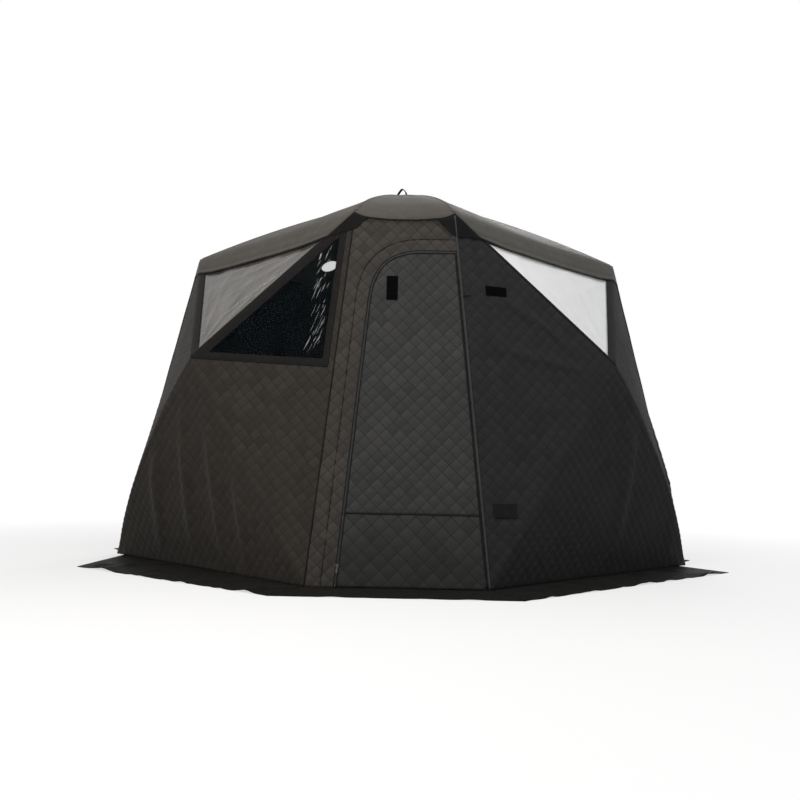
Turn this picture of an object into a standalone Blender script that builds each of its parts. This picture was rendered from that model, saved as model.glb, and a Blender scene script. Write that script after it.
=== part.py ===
"""Pop-up hub tent for a sauna: four padded walls pushed out by hubs, a zipped door wall and a roof canopy.

Metres, +Z up. The door faces -Y. The origin is the middle of the footprint, on the ground.
Sizes and shapes below are about the plan's centre; the parent empty moves all of it to the origin.
"""
import math

import bpy
import numpy as np

# Plan and heights, all on the outer face of the walls
FOOT_REACH = 1.786            # plan centre to a side corner on the ground
EAVE_REACH = 1.334            # plan centre to a side corner at the eaves
EAVE_HEIGHT = 1.897
DOOR_FOOT_HALF = 0.44         # half the door wall's width on the ground
DOOR_EAVE_HALF = 0.26         # half its width at the eaves
HUB_BELOW_EAVE = 0.751
WALL_HUB_HEIGHT = EAVE_HEIGHT - HUB_BELOW_EAVE
WALL_HUB_PUSH = 0.335         # how far a hub pushes its wall out of the flat
ROOF_RISE = 0.434             # eaves to the crown of the roof
ROOF_TOP = EAVE_HEIGHT + ROOF_RISE
ROOF_POLE_BOW = 0.0405        # upward bow of the roof poles
POLE_BOW = 0.07               # outward bow of the poles to the side and back feet
EAVE_SAG = 0.010              # sag of the eave between two corners
DOOR_EAVE_SAG = 0.022         # sag of the eave over the door
PANEL_SAG_SHARE = 0.011       # sag of a roof panel, as a share of its width

# Fabric
WALL_THICK = 0.008            # padded wall
ROOF_THICK = 0.003
ROOF_GAP = 0.0014             # roof fabric over the walls
FILM_THICK = 0.0012
FLAP_THICK = 0.003
FIT_GAP = 0.0003              # between pieces that touch
SEAM_GAP = 0.0006             # between two walls at a corner seam

# Hem of the roof fabric below the eave
HEM_SIDE_DROP = 0.055         # at a side or back corner
HEM_MIDDLE_DROP = 0.065       # between two corners
HEM_DOOR_DROP = 0.140         # at the seams beside the door
HEM_DOOR_RIDGE_DROP = 0.095   # on the poles beside the door
HEM_OVER_DOOR_DROP = 0.021

# Windows
WINDOW_EAVE_BORDER = 0.155    # fabric left above the side window
WINDOW_POST_BORDER = 0.055    # beside the pole to the side corner
WINDOW_RIDGE_BORDER = 0.022   # beside the pole to the door corner
SILL_BELOW_EAVE = 0.832       # where the front window's sill line meets the corner seam
SILL_HEIGHT = EAVE_HEIGHT - SILL_BELOW_EAVE
FRONT_WINDOW_SILL_BORDER = 0.040
FRONT_WINDOW_SEAM_BORDER = 0.055
FRONT_WINDOW_RIDGE_BORDER = 0.050

# Poles and hubs
POLE_RADIUS = 0.0055
POLE_CORNER_INSET = 0.055     # from a corner to the pole's end
POLE_CLEARANCE = 0.0012       # pole to fabric, at the corner
POLE_HUB_DEPTH = 0.024        # pole axis below the outer face, at a wall hub
ROOF_HUB_DEPTH = 0.014        # and at the roof hub
SOCKET_WALL = 0.0025
HUB_RADIUS = 0.028
HUB_BACK = 0.012              # hub's back face behind the poles' meeting point
HUB_NOSE_RADIUS = 0.004
HUB_CLEARANCE = 0.0008        # hub's cone to the inside of the wall
SOCKET_FLOOR = 0.030          # bottom of a socket's bore from the hub's centre
SOCKET_REACH = 0.052
ROOF_HUB_RADIUS = 0.038
ROOF_SOCKET_FLOOR = 0.040
ROOF_SOCKET_REACH = 0.064
SOCKET_ROOT = 0.010

# Door
DOOR_FOOT_X = -0.293          # zip line on the ground
ARCH_START_X = -0.171         # top of the zip's straight run
ARCH_END_X = 0.10             # where the arch has become level
ARCH_BELOW_EAVE = 0.213
ARCH_DROP = 0.264             # arch's level end to the top of the straight run
ARCH_HEIGHT = EAVE_HEIGHT - ARCH_BELOW_EAVE
ARCH_START_HEIGHT = ARCH_HEIGHT - ARCH_DROP
ARCH_RISE = 0.17              # reach of the arch's curve up from the straight run
ARCH_RUN = 0.18               # and back along its level end
KICK_HEIGHT = 0.349           # seam between door panel and kick panel
DOOR_GAP = 0.0012             # between the two fabric edges along the zip
DOOR_HINGE_GAP = 0.0022
DOOR_FOOT_GAP = 0.006         # door's lower edge above the ground
TAPE_WIDTH = 0.009
TAPE_THICK = 0.0014
TAPE_END_INSET = 0.006        # from the door's hinge edge to the tape's end
SLIDER_WIDTH = 0.014
SLIDER_LENGTH = 0.020
SLIDER_THICK = 0.0035
SLIDER_NOSE_SHARE = 0.6
SLIDER_REST_HEIGHT = 0.10
BRIDGE_LENGTH = 0.012
BRIDGE_WIDTH = 0.003
BRIDGE_BAR = 0.0016
BRIDGE_WINDOW = 0.0032        # height of the space under the bridge
PULL_WIDTH = 0.0090
PULL_LENGTH = 0.034
PULL_THICK = 0.0014
PULL_BAR = 0.0014
PULL_HOLE_PLAY = 0.0007
PULL_HOLE_LENGTH = 0.0085
HOOK_PATCH_LEFT_X = -0.084
HOOK_PATCH_RIGHT_X = -0.027
HOOK_PATCH_TALL = 0.127
HOOK_PATCH_BELOW_ARCH = 0.133
HOOK_PATCH_HIGH = ARCH_HEIGHT - HOOK_PATCH_BELOW_ARCH
HOOK_PATCH_LOW = HOOK_PATCH_HIGH - HOOK_PATCH_TALL
HOOK_PATCH_THICK = 0.002
WALL_PATCH_BELOW_EAVE = 0.403
WALL_PATCH_HEIGHT = EAVE_HEIGHT - WALL_PATCH_BELOW_EAVE
WALL_PATCH_FROM_SEAM = 0.200
WALL_PATCH_WIDTH = 0.120
WALL_PATCH_TALL = 0.052

# Flue port in the roof panel over the back left wall
PORT_INSET = 0.190            # from the middle of the eave up the roof to the port's centre
PORT_RADIUS = 0.060
PORT_RING_WIDTH = 0.022
PORT_RING_THICK = 0.003
PORT_PANEL_HALF = 0.110
COVER_WIDTH = 0.200
COVER_LENGTH = 0.200
COVER_THICK = 0.003
COVER_CHAMFER = 0.025
COVER_PLAY = 0.0004

# Air vent low in the front right wall
VENT_HEIGHT = 0.372
VENT_FROM_SEAM = 0.125        # corner seam to the flap's middle
VENT_FLAP_WIDTH = 0.127
VENT_FLAP_TALL = 0.070
VENT_FLAP_THICK = 0.003
VENT_HOLE_WIDTH = 0.090
VENT_HOLE_TALL = 0.036

# Mud flaps on the ground
DOOR_FLAP_WIDTH = 0.297
FLAP_WIDTH = 0.346            # at the side and back corners
FLAP_SET_BACK = 0.146         # of those ends, along the wall
LEFT_FLAP_WIDTH = 0.490       # the front left flap is spread wider
LEFT_FLAP_SET_BACK = 0.530
FLAP_ROOT_SET_BACK = 0.060
FLAP_ROOT_GAP = 0.0016
FLAP_MITRE_GAP = 0.002
EYELET_OUT = 0.150            # from the door wall's foot
EYELET_X = 0.455
EYELET_END_INSET = 0.10       # from the far end of a wall's flap
EYELET_EDGE_INSET = 0.06
EYELET_HOLE_RADIUS = 0.0055
EYELET_RADIUS = 0.011
EYELET_THICK = 0.0012

# Pull loop on the crown
LOOP_WIDTH = 0.022
LOOP_THICK = 0.0024
LOOP_HEIGHT = 0.052
LOOP_BASE = 0.072             # from its foot on the crown to its foot down the left pole
LOOP_ARCH_SHARES = ((0.10, 0.62), (0.28, 0.94), (0.38, 1.0), (0.50, 0.96), (0.76, 0.55))

CUT_OVERRUN = 0.01

# Mesh fineness
EDGE_STEPS = 5
RINGS = 2
ROOF_ROW_SHARES = (0.0, 0.25, 0.5, 0.75, 0.92)
PORT_ROWS = 3                 # roof rows that the flue port's panel spans
RUN_STEPS = 5
ARCH_STEPS = 7
SEAM_STEPS = 6
POLE_SIDES = 8
HUB_SIDES = 16
PORT_SIDES = 24
EYELET_SIDES = 12
SMOOTH_ANGLE = math.radians(35)
SIGHT_RATIO = 0.12            # face directions closer together than this count as one
SAME_PLANE = 0.05

UP = np.array((0.0, 0.0, 1.0))
WALLS = {
    "door": ("door_left", "door_right"),
    "front_right": ("door_right", "right"),
    "back_right": ("right", "back"),
    "back_left": ("back", "left"),
    "front_left": ("left", "door_left"),
}
HUB_WALLS = ("front_left", "front_right", "back_left", "back_right")
WHOLE = ((1, 0, 0), (0, 1, 0), (0, 0, 1))


def unit(vector):
    return vector / np.linalg.norm(vector)


def mix(first, second, share):
    return first * (1 - share) + second * share


def point(x, y, z):
    return np.array((x, y, z), dtype=float)


def corner_points(reach, door_half, height):
    return {
        "door_left": point(-door_half, door_half - reach, height),
        "door_right": point(door_half, door_half - reach, height),
        "right": point(reach, 0, height),
        "back": point(0, reach, height),
        "left": point(-reach, 0, height),
    }


CROWN = point(0, 0, ROOF_TOP)
FEET = corner_points(FOOT_REACH, DOOR_FOOT_HALF, 0)
EAVES = corner_points(EAVE_REACH, DOOR_EAVE_HALF, EAVE_HEIGHT)


def seam_point(corner, height):
    return mix(FEET[corner], EAVES[corner], height / EAVE_HEIGHT)


def wall_facing(wall):
    """Level outward direction of a wall."""
    first, second = WALLS[wall]
    return unit(np.cross(FEET[second] - FEET[first], UP))


def hub_point(wall):
    first, second = WALLS[wall]
    middle = mix(seam_point(first, WALL_HUB_HEIGHT), seam_point(second, WALL_HUB_HEIGHT), 0.5)
    return middle + wall_facing(wall) * WALL_HUB_PUSH


HUB_POINTS = {wall: hub_point(wall) for wall in HUB_WALLS}


def eave_sag(wall):
    """The eave's middle is drawn down within the wall's own plane."""
    first, second = WALLS[wall]
    middle = mix(EAVES[first], EAVES[second], 0.5)
    if wall == "door":
        return unit(mix(FEET[first], FEET[second], 0.5) - middle) * DOOR_EAVE_SAG
    return unit(HUB_POINTS[wall] - middle) * EAVE_SAG


def eave_places(wall):
    """Places along a wall's eave from its first corner to its second."""
    first, second = WALLS[wall]
    shares = [step / EDGE_STEPS for step in range(EDGE_STEPS + 1)]
    return [mix(EAVES[first], EAVES[second], share) + 4 * share * (1 - share) * eave_sag(wall)
            for share in shares]


def foot_bow(wall, corner):
    """Bow of the pole from a hub to a foot. The poles beside the door stand straight."""
    return point(0, 0, 0) if corner.startswith("door") else wall_facing(wall) * POLE_BOW


class Patch:
    """A triangle of taut fabric. The middle of each edge is moved by that edge's bow."""

    def __init__(self, corners, bows):
        self.corners = corners
        self.bows = bows

    def at(self, shares):
        a, b, c = shares
        flat = sum(corner * share for corner, share in zip(self.corners, shares))
        ab, bc, ca = self.bows
        return flat + 4 * (a * b * ab + b * c * bc + c * a * ca)


def wall_patch(wall, part):
    """One of a hub wall's four triangles: the ends of its outer edge first, the hub last."""
    first, second = WALLS[wall]
    hub = HUB_POINTS[wall]
    straight = point(0, 0, 0)
    first_bow, second_bow = foot_bow(wall, first), foot_bow(wall, second)
    if part == "bottom":
        return Patch((FEET[first], FEET[second], hub), (straight, second_bow, first_bow))
    if part == "second_side":
        return Patch((FEET[second], EAVES[second], hub), (straight, straight, second_bow))
    if part == "top":
        return Patch((EAVES[second], EAVES[first], hub), (eave_sag(wall), straight, straight))
    return Patch((EAVES[first], FEET[first], hub), (straight, first_bow, straight))


def flat_normal(corners):
    return unit(np.cross(corners[1] - corners[0], corners[2] - corners[0]))


DOOR_NORMAL = flat_normal((FEET["door_left"], FEET["door_right"], EAVES["door_left"]))


def side_normal(wall, corner):
    """Outward normal of the fabric beside a corner seam."""
    if wall == "door":
        return DOOR_NORMAL
    part = "second_side" if WALLS[wall][1] == corner else "first_side"
    return flat_normal(wall_patch(wall, part).corners)


def seam_plane(corner):
    """Normal of the plane that halves a corner seam, pointing to the wall that starts there."""
    ending = next(wall for wall, pair in WALLS.items() if pair[1] == corner)
    starting = next(wall for wall, pair in WALLS.items() if pair[0] == corner)
    return unit(side_normal(starting, corner) - side_normal(ending, corner))


# Sheets: skins that are given a thickness

class Sheet:
    """Triangles on one skin, counter-clockwise from outside, and the planes its edges keep to."""

    def __init__(self):
        self.points = []
        self.index = {}
        self.triangles = []
        self.planes = {}
        self.shifts = {}
        self.moves = None

    def vertex(self, place):
        key = tuple(np.round(place, 5) + 0.0)
        if key not in self.index:
            self.index[key] = len(self.points)
            self.points.append(np.array(place, dtype=float))
        return self.index[key]

    def triangle(self, *places):
        corners = [self.vertex(place) for place in places]
        if len(set(corners)) == 3:
            self.triangles.append(tuple(corners))

    def strip(self, lower, upper):
        for step in range(len(lower) - 1):
            self.triangle(lower[step], lower[step + 1], upper[step + 1])
            self.triangle(lower[step], upper[step + 1], upper[step])

    def fan(self, loop, centre):
        for step, place in enumerate(loop):
            self.triangle(place, loop[(step + 1) % len(loop)], centre)

    def bridge(self, outer, inner):
        """Fill between two loops that start near each other, whatever their counts."""
        outside, inside = len(outer), len(inner)
        here, there = 0, 0
        while here < outside or there < inside:
            outer_turn = (here + 0.5) / outside <= (there + 0.5) / inside
            if there == inside or (outer_turn and here < outside):
                self.triangle(outer[here], outer[(here + 1) % outside], inner[there % inside])
                here += 1
            else:
                self.triangle(outer[here % outside], inner[(there + 1) % inside], inner[there])
                there += 1

    def keep_in_plane(self, places, normal, shift=0.0):
        """The vertices at `places` keep to a plane, and are moved level off it by `shift`."""
        level = normal * (1, 1, 0)
        move = level * (shift / level.dot(normal)) if shift else level * 0
        for place in places:
            vertex = self.vertex(place)
            self.planes.setdefault(vertex, []).append(normal)
            self.shifts[vertex] = self.shifts.get(vertex, 0) + move

    def outward(self):
        """For each vertex the move that takes it one metre out of every face round it."""
        if self.moves is not None:
            return self.moves
        facing = [[] for _ in self.points]
        for triangle in self.triangles:
            normal = flat_normal([self.points[corner] for corner in triangle])
            for corner in triangle:
                facing[corner].append(normal)
        self.moves = []
        for vertex, normals in enumerate(facing):
            free = np.eye(3)
            if vertex in self.planes:
                _, sizes, rows = np.linalg.svd(np.array(self.planes[vertex]))
                free = rows[int((sizes > SAME_PLANE).sum()):].T
            answer = np.linalg.lstsq(np.array(normals) @ free, np.ones(len(normals)), rcond=SIGHT_RATIO)
            self.moves.append(free @ answer[0])
        return self.moves

    def lift(self, place):
        return self.outward()[self.vertex(place)]

    def solid(self, name, near, far, material, origin=point(0, 0, 0)):
        """Closed body between the skins at `near` and `far`, both measured outward."""
        moves = self.outward()
        count = len(self.points)
        shifted = [place + self.shifts.get(vertex, 0) for vertex, place in enumerate(self.points)]
        outer = [place + move * near for place, move in zip(shifted, moves)]
        inner = [place + move * far for place, move in zip(shifted, moves)]
        faces = list(self.triangles)
        faces += [tuple(corner + count for corner in reversed(triangle)) for triangle in self.triangles]
        edges = {(triangle[step], triangle[(step + 1) % 3])
                 for triangle in self.triangles for step in range(3)}
        for start, end in sorted(edges):
            if (end, start) not in edges:
                faces.append((end, start, start + count))
                faces.append((end, start + count, end + count))
        return make_object(name, outer + inner, faces, material, origin)


def split(start, end, steps):
    return [mix(start, end, step / steps) for step in range(steps + 1)]


def split_loop(corners, steps):
    """Closed loop with `steps` equal parts on each side."""
    places = []
    for step, start in enumerate(corners):
        places += split(start, corners[(step + 1) % len(corners)], steps)[:-1]
    return places


def arrays(corners):
    return [np.array(corner, dtype=float) for corner in corners]


def lay_region(sheet, patch, corners, opening=None):
    """Lay one region of a patch, round an opening or closed over its middle."""
    outer = split_loop(arrays(corners), EDGE_STEPS)
    places = [patch.at(shares) for shares in outer]
    if opening is not None:
        sheet.bridge(places, [patch.at(shares) for shares in split_loop(arrays(opening), EDGE_STEPS)])
        return
    centre = sum(arrays(corners)) / len(corners)
    for ring in range(RINGS):
        share = (ring + 1) / (RINGS + 1)
        inner_places = [patch.at(mix(shares, centre, share)) for shares in outer]
        sheet.bridge(places, inner_places)
        places = inner_places
    sheet.fan(places, patch.at(centre))


def height_over_edge(places, index):
    """Distance from corner `index` of a triangle to the opposite edge."""
    here, left, right = (places[(index + step) % 3] for step in range(3))
    along = unit(right - left)
    across = here - left
    return np.linalg.norm(across - along * across.dot(along))


def opening_in(patch, corners, borders):
    """Corners of an opening in a triangular region. Each border goes with the edge from its corner."""
    regions = arrays(corners)
    places = [patch.at(corner) for corner in regions]
    heights = [height_over_edge(places, index) for index in range(3)]
    opening = []
    for index in range(3):
        following, previous = (index + 1) % 3, (index + 2) % 3
        off_previous_edge = borders[previous] / heights[following]
        off_own_edge = borders[index] / heights[previous]
        rest = 1 - off_previous_edge - off_own_edge
        opening.append(regions[index] * rest + regions[following] * off_previous_edge
                       + regions[previous] * off_own_edge)
    return opening


# Objects and materials

def clear_scene():
    for item in list(bpy.data.objects):
        bpy.data.objects.remove(item, do_unlink=True)


def make_material(name, colour, roughness, metallic=0.0):
    material = bpy.data.materials.new(name)
    material.use_nodes = True
    shader = material.node_tree.nodes["Principled BSDF"]
    shader.inputs["Base Color"].default_value = (*colour, 1.0)
    shader.inputs["Roughness"].default_value = roughness
    shader.inputs["Metallic"].default_value = metallic
    return material


def make_parent():
    """Empty that moves the plan's centre so that the origin is the middle of the footprint."""
    front = FOOT_REACH - DOOR_FOOT_HALF + DOOR_FLAP_WIDTH
    back = FOOT_REACH + (FLAP_WIDTH - FLAP_SET_BACK) / math.sqrt(2)
    parent = bpy.data.objects.new("tent", None)
    parent.location = (0, (front - back) / 2, 0)
    bpy.context.collection.objects.link(parent)
    return parent


def make_object(name, places, faces, material, origin=point(0, 0, 0), smooth=False):
    mesh = bpy.data.meshes.new(name)
    mesh.from_pydata([tuple(map(float, place - origin)) for place in places], [], faces)
    mesh.materials.append(material)
    mesh.update()
    if smooth:
        mesh.shade_smooth()
        mesh.set_sharp_from_angle(angle=SMOOTH_ANGLE)
    item = bpy.data.objects.new(name, mesh)
    bpy.context.collection.objects.link(item)
    item.parent = PARENT
    item.location = tuple(map(float, origin))
    return item


def prism(name, outline, move, material, origin=point(0, 0, 0)):
    """Solid between an outline, counter-clockwise seen from where `move` points, and its moved copy."""
    count = len(outline)
    places = list(outline) + [place + move for place in outline]
    faces = [tuple(range(count))[::-1], tuple(range(count, 2 * count))]
    faces += [(step, (step + 1) % count, (step + 1) % count + count, step + count)
              for step in range(count)]
    return make_object(name, places, faces, material, origin)


def side_axes(axis):
    """Two directions square to an axis and to each other."""
    helper = UP if abs(axis[2]) < 0.9 else point(1, 0, 0)
    first = unit(np.cross(helper, axis))
    return first, np.cross(axis, first)


def circle(centre, first, second, radius, sides, start=0.0):
    angles = [start + 2 * math.pi * step / sides for step in range(sides)]
    return [centre + first * (radius * math.cos(angle)) + second * (radius * math.sin(angle))
            for angle in angles]


def turned(name, centre, axis, profile, sides, material):
    """Turned solid with flat ends. The profile lists (radius, height) from the bottom up."""
    first, second = side_axes(axis)
    places, faces = [], []
    for radius, height in profile:
        places += circle(centre + axis * height, first, second, radius, sides)
    last = (len(profile) - 1) * sides
    faces.append(tuple(range(sides))[::-1])
    faces.append(tuple(range(last, last + sides)))
    for row in range(len(profile) - 1):
        for step in range(sides):
            low, following = row * sides, (step + 1) % sides
            faces.append((low + step, low + following, low + following + sides, low + step + sides))
    return make_object(name, places, faces, material, smooth=True)


def ring_solid(name, centre, axis, radii, heights, sides, material):
    """Flat ring between two radii and two heights along its axis."""
    first, second = side_axes(axis)
    inner, outer = radii
    low, high = heights
    loops = [circle(centre + axis * height, first, second, radius, sides)
             for radius, height in ((inner, low), (outer, low), (outer, high), (inner, high))]
    places = [place for loop in loops for place in loop]
    faces = []
    for row in range(4):
        this, other = row * sides, (row + 1) % 4 * sides
        for step in range(sides):
            following = (step + 1) % sides
            faces.append((this + step, this + following, other + following, other + step))
    return make_object(name, places, faces, material, smooth=True)


def swept_rod(name, path, material):
    """Round pole along a path, with flat ends."""
    directions = [unit(end - start) for start, end in zip(path, path[1:])]
    tangents = [directions[0]] + [unit(a + b) for a, b in zip(directions, directions[1:])]
    tangents.append(directions[-1])
    side = side_axes(tangents[0])[0]
    places = []
    for place, tangent in zip(path, tangents):
        side = unit(side - tangent * side.dot(tangent))
        places += circle(place, side, np.cross(tangent, side), POLE_RADIUS, POLE_SIDES)
    last = (len(path) - 1) * POLE_SIDES
    faces = [tuple(range(POLE_SIDES))[::-1], tuple(range(last, last + POLE_SIDES))]
    for row in range(len(path) - 1):
        for step in range(POLE_SIDES):
            low, following = row * POLE_SIDES, (step + 1) % POLE_SIDES
            faces.append((low + step, low + following,
                          low + following + POLE_SIDES, low + step + POLE_SIDES))
    return make_object(name, places, faces, material, smooth=True)


def combine(target, guide, operation):
    """Cut or join by a hidden guide object."""
    modifier = target.modifiers.new(guide.name, "BOOLEAN")
    modifier.operation = operation
    modifier.object = guide
    modifier.solver = "EXACT"
    guide.hide_render = True
    guide.display_type = "WIRE"


def rectangle(centre, across, upward, half_width, half_height):
    """Corners counter-clockwise from the upper left, seen from where across x upward points."""
    return [centre - across * half_width + upward * half_height,
            centre - across * half_width - upward * half_height,
            centre + across * half_width - upward * half_height,
            centre + across * half_width + upward * half_height]


# Walls

def hold_seam(sheet, wall, corner, places):
    """Keep an edge in the plane that halves a corner seam, half the seam gap to its own side."""
    side = 1 if WALLS[wall][0] == corner else -1
    sheet.keep_in_plane(places, seam_plane(corner), side * SEAM_GAP / 2)


def edge_places(patch, start, end):
    return [patch.at(shares) for shares in split(*arrays((start, end)), EDGE_STEPS)]


def side_window(wall):
    """Opening in the triangle under the eave."""
    patch = wall_patch(wall, "top")
    borders = [WINDOW_EAVE_BORDER, WINDOW_POST_BORDER, WINDOW_RIDGE_BORDER]
    if WALLS[wall][0].startswith("door"):
        borders = [WINDOW_EAVE_BORDER, WINDOW_RIDGE_BORDER, WINDOW_POST_BORDER]
    return patch, opening_in(patch, WHOLE, borders)


def front_regions():
    """The front left wall's triangle beside the door, parted by the sill line."""
    patch = wall_patch("front_left", "second_side")
    share = SILL_HEIGHT / EAVE_HEIGHT
    sill = (1 - share, share, 0)
    return patch, (sill, WHOLE[1], WHOLE[2]), (WHOLE[0], sill, WHOLE[2])


def front_window():
    patch, upper, _ = front_regions()
    borders = (FRONT_WINDOW_SEAM_BORDER, FRONT_WINDOW_RIDGE_BORDER, FRONT_WINDOW_SILL_BORDER)
    return patch, opening_in(patch, upper, borders)


def beside_door_frame(height, from_seam):
    """A place on the front right wall beside the door, with its level, upward and outward directions."""
    patch = wall_patch("front_right", "first_side")
    normal = flat_normal(patch.corners)
    across = unit(np.cross(UP, normal))
    return seam_point("door_right", height) + across * from_seam, across, np.cross(normal, across), normal


def lay_vent_side(sheet):
    """Triangle of the front right wall beside the door, round the vent hole."""
    patch = wall_patch("front_right", "first_side")
    centre, across, upward, _ = beside_door_frame(VENT_HEIGHT, VENT_FROM_SEAM)
    outer = [patch.at(shares) for shares in split_loop(arrays(WHOLE), EDGE_STEPS)]
    sheet.bridge(outer, rectangle(centre, across, upward, VENT_HOLE_WIDTH / 2, VENT_HOLE_TALL / 2))


def lay_hub_wall(wall):
    first, second = WALLS[wall]
    sheet = Sheet()
    lay_region(sheet, wall_patch(wall, "bottom"), WHOLE)
    opening = side_window(wall)[1] if wall.startswith("front") else None
    lay_region(sheet, wall_patch(wall, "top"), WHOLE, opening)
    if wall == "front_left":
        patch, upper, lower = front_regions()
        lay_region(sheet, patch, upper, front_window()[1])
        lay_region(sheet, patch, lower)
        second_seam = edge_places(patch, upper[0], upper[1]) + edge_places(patch, lower[0], lower[1])
    else:
        patch = wall_patch(wall, "second_side")
        lay_region(sheet, patch, WHOLE)
        second_seam = edge_places(patch, WHOLE[0], WHOLE[1])
    if wall == "front_right":
        lay_vent_side(sheet)
    else:
        lay_region(sheet, wall_patch(wall, "first_side"), WHOLE)
    first_seam = edge_places(wall_patch(wall, "first_side"), WHOLE[0], WHOLE[1])
    hold_seam(sheet, wall, first, first_seam)
    hold_seam(sheet, wall, second, unique(second_seam))
    sheet.keep_in_plane(edge_places(wall_patch(wall, "bottom"), WHOLE[0], WHOLE[1]), UP)
    sheet.keep_in_plane(edge_places(wall_patch(wall, "top"), WHOLE[0], WHOLE[1]), UP)
    return sheet


def unique(places):
    return list({tuple(np.round(place, 6)): place for place in places}.values())


def add_film(name, patch, opening, material):
    """Window film in the middle of the wall's thickness, a hair smaller than its opening."""
    sheet = Sheet()
    lay_region(sheet, patch, opening_in(patch, opening, (FIT_GAP, FIT_GAP, FIT_GAP)))
    sheet.solid(name, (FILM_THICK - WALL_THICK) / 2, -(FILM_THICK + WALL_THICK) / 2, material)


# Roof

def roof_ridge(corner, share):
    """Place on the roof's inner surface over a pole, from the eave corner to the crown's middle."""
    return mix(EAVES[corner], CROWN, share) + UP * (4 * share * (1 - share) * ROOF_POLE_BOW)


def roof_row(wall, share):
    """Places across a roof panel, from over its wall's first corner to its second."""
    if share == 0:
        return eave_places(wall)
    first, second = WALLS[wall]
    start, end = roof_ridge(first, share), roof_ridge(second, share)
    depth = PANEL_SAG_SHARE * np.linalg.norm(end - start) * 4 * share * (1 - share)
    places = split(start, end, EDGE_STEPS)
    for step, place in enumerate(places):
        across = step / EDGE_STEPS
        place[2] -= 4 * across * (1 - across) * depth
    return places


def port_frame():
    """Centre of the flue port, with the roof panel's level, upward and outward directions."""
    first, second = WALLS["back_left"]
    across = unit(EAVES[second] - EAVES[first])
    length = np.linalg.norm(CROWN - mix(EAVES[first], EAVES[second], 0.5))
    low, high = (mix(roof_ridge(first, share), roof_ridge(second, share), 0.5)
                 for share in ((PORT_INSET - PORT_PANEL_HALF) / length,
                               (PORT_INSET + PORT_PANEL_HALF) / length))
    upward = unit(high - low)
    return mix(low, high, 0.5), across, upward, np.cross(across, upward)


def port_loop(radius, sides):
    centre, across, upward, _ = port_frame()
    return circle(centre, across, upward, radius, sides, start=-math.pi * 3 / 4)


def lay_roof_panel(sheet, wall):
    rows = [roof_row(wall, share) for share in ROOF_ROW_SHARES]
    plain = rows
    if wall == "back_left":
        body, plain = rows[:PORT_ROWS], rows[PORT_ROWS - 1:]
        outer = (body[0][:-1] + [row[-1] for row in body[:-1]] + body[-1][:0:-1]
                 + [row[0] for row in body[:0:-1]])
        centre, across, upward, _ = port_frame()
        panel = rectangle(centre, across, upward, PORT_PANEL_HALF, PORT_PANEL_HALF)
        panel = panel[1:] + panel[:1]
        sheet.bridge(outer, panel)
        sheet.bridge(panel, port_loop(PORT_RADIUS + FIT_GAP, PORT_SIDES))
    for lower, upper in zip(plain, plain[1:]):
        sheet.strip(lower, upper)
    return rows[-1]


def hem_on_seam(corner, drop):
    return seam_point(corner, EAVE_HEIGHT - drop)


def hem_on_ridge(wall, corner, drop):
    """Place on the pole line from an eave corner to the hub, `drop` below the eave."""
    hub = HUB_POINTS[wall]
    return mix(EAVES[corner], hub, drop / (EAVE_HEIGHT - hub[2]))


def lay_hem(sheet, wall):
    """Roof fabric that hangs over the top of a wall."""
    first, second = WALLS[wall]
    eave = eave_places(wall)
    if wall == "door":
        down = unit(FEET[first] + FEET[second] - EAVES[first] - EAVES[second])
        inner = [place + down * HEM_OVER_DOOR_DROP for place in eave[1:-1]]
        sheet.strip([hem_on_seam(first, HEM_DOOR_DROP)] + inner + [hem_on_seam(second, HEM_DOOR_DROP)], eave)
        return
    middle = mix(EAVES[first], EAVES[second], 0.5)
    down = HUB_POINTS[wall] - middle
    down = down / -down[2]
    inner = [place + down * HEM_MIDDLE_DROP for place in eave[1:-1]]
    ends = []
    for corner in (first, second):
        beside_door = corner.startswith("door")
        seam = hem_on_seam(corner, HEM_DOOR_DROP if beside_door else HEM_SIDE_DROP)
        ridge = hem_on_ridge(wall, corner, HEM_DOOR_RIDGE_DROP if beside_door else HEM_SIDE_DROP)
        ends.append((seam, ridge))
    (first_seam, first_ridge), (second_seam, second_ridge) = ends
    sheet.strip([first_ridge] + inner + [second_ridge], eave)
    sheet.triangle(first_seam, first_ridge, eave[0])
    sheet.triangle(second_ridge, second_seam, eave[-1])


def lay_roof():
    sheet = Sheet()
    crown = []
    for wall in WALLS:
        crown += lay_roof_panel(sheet, wall)[:-1]
        lay_hem(sheet, wall)
    sheet.fan(crown, CROWN)
    return sheet


def add_roof(sheet, material):
    sheet.solid("roof_canopy", ROOF_GAP + ROOF_THICK, ROOF_GAP, material)


def add_flue_port(materials):
    centre, across, upward, normal = port_frame()
    bottom = ROOF_GAP + ROOF_THICK + FIT_GAP
    top = bottom + PORT_RING_THICK
    ring_solid("flue_port_ring", centre, normal, (PORT_RADIUS, PORT_RADIUS + PORT_RING_WIDTH),
               (bottom, top), PORT_SIDES, materials["webbing"])
    low = ROOF_GAP + ROOF_THICK + COVER_PLAY
    pivot_out = (top + COVER_PLAY + low + COVER_THICK) / 2
    pivot = centre + upward * (PORT_RADIUS + PORT_RING_WIDTH) + normal * pivot_out
    start = centre + upward * (PORT_RADIUS + PORT_RING_WIDTH + COVER_PLAY) + normal * low
    half, chamfer = COVER_WIDTH / 2, COVER_CHAMFER
    outline = [(-half, 0), (half, 0), (half, COVER_LENGTH - chamfer), (half - chamfer, COVER_LENGTH),
               (chamfer - half, COVER_LENGTH), (-half, COVER_LENGTH - chamfer)]
    prism("flue_cover", [start + across * x + upward * y for x, y in outline], normal * COVER_THICK,
          materials["roof"], pivot)


# Poles and hubs

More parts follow.
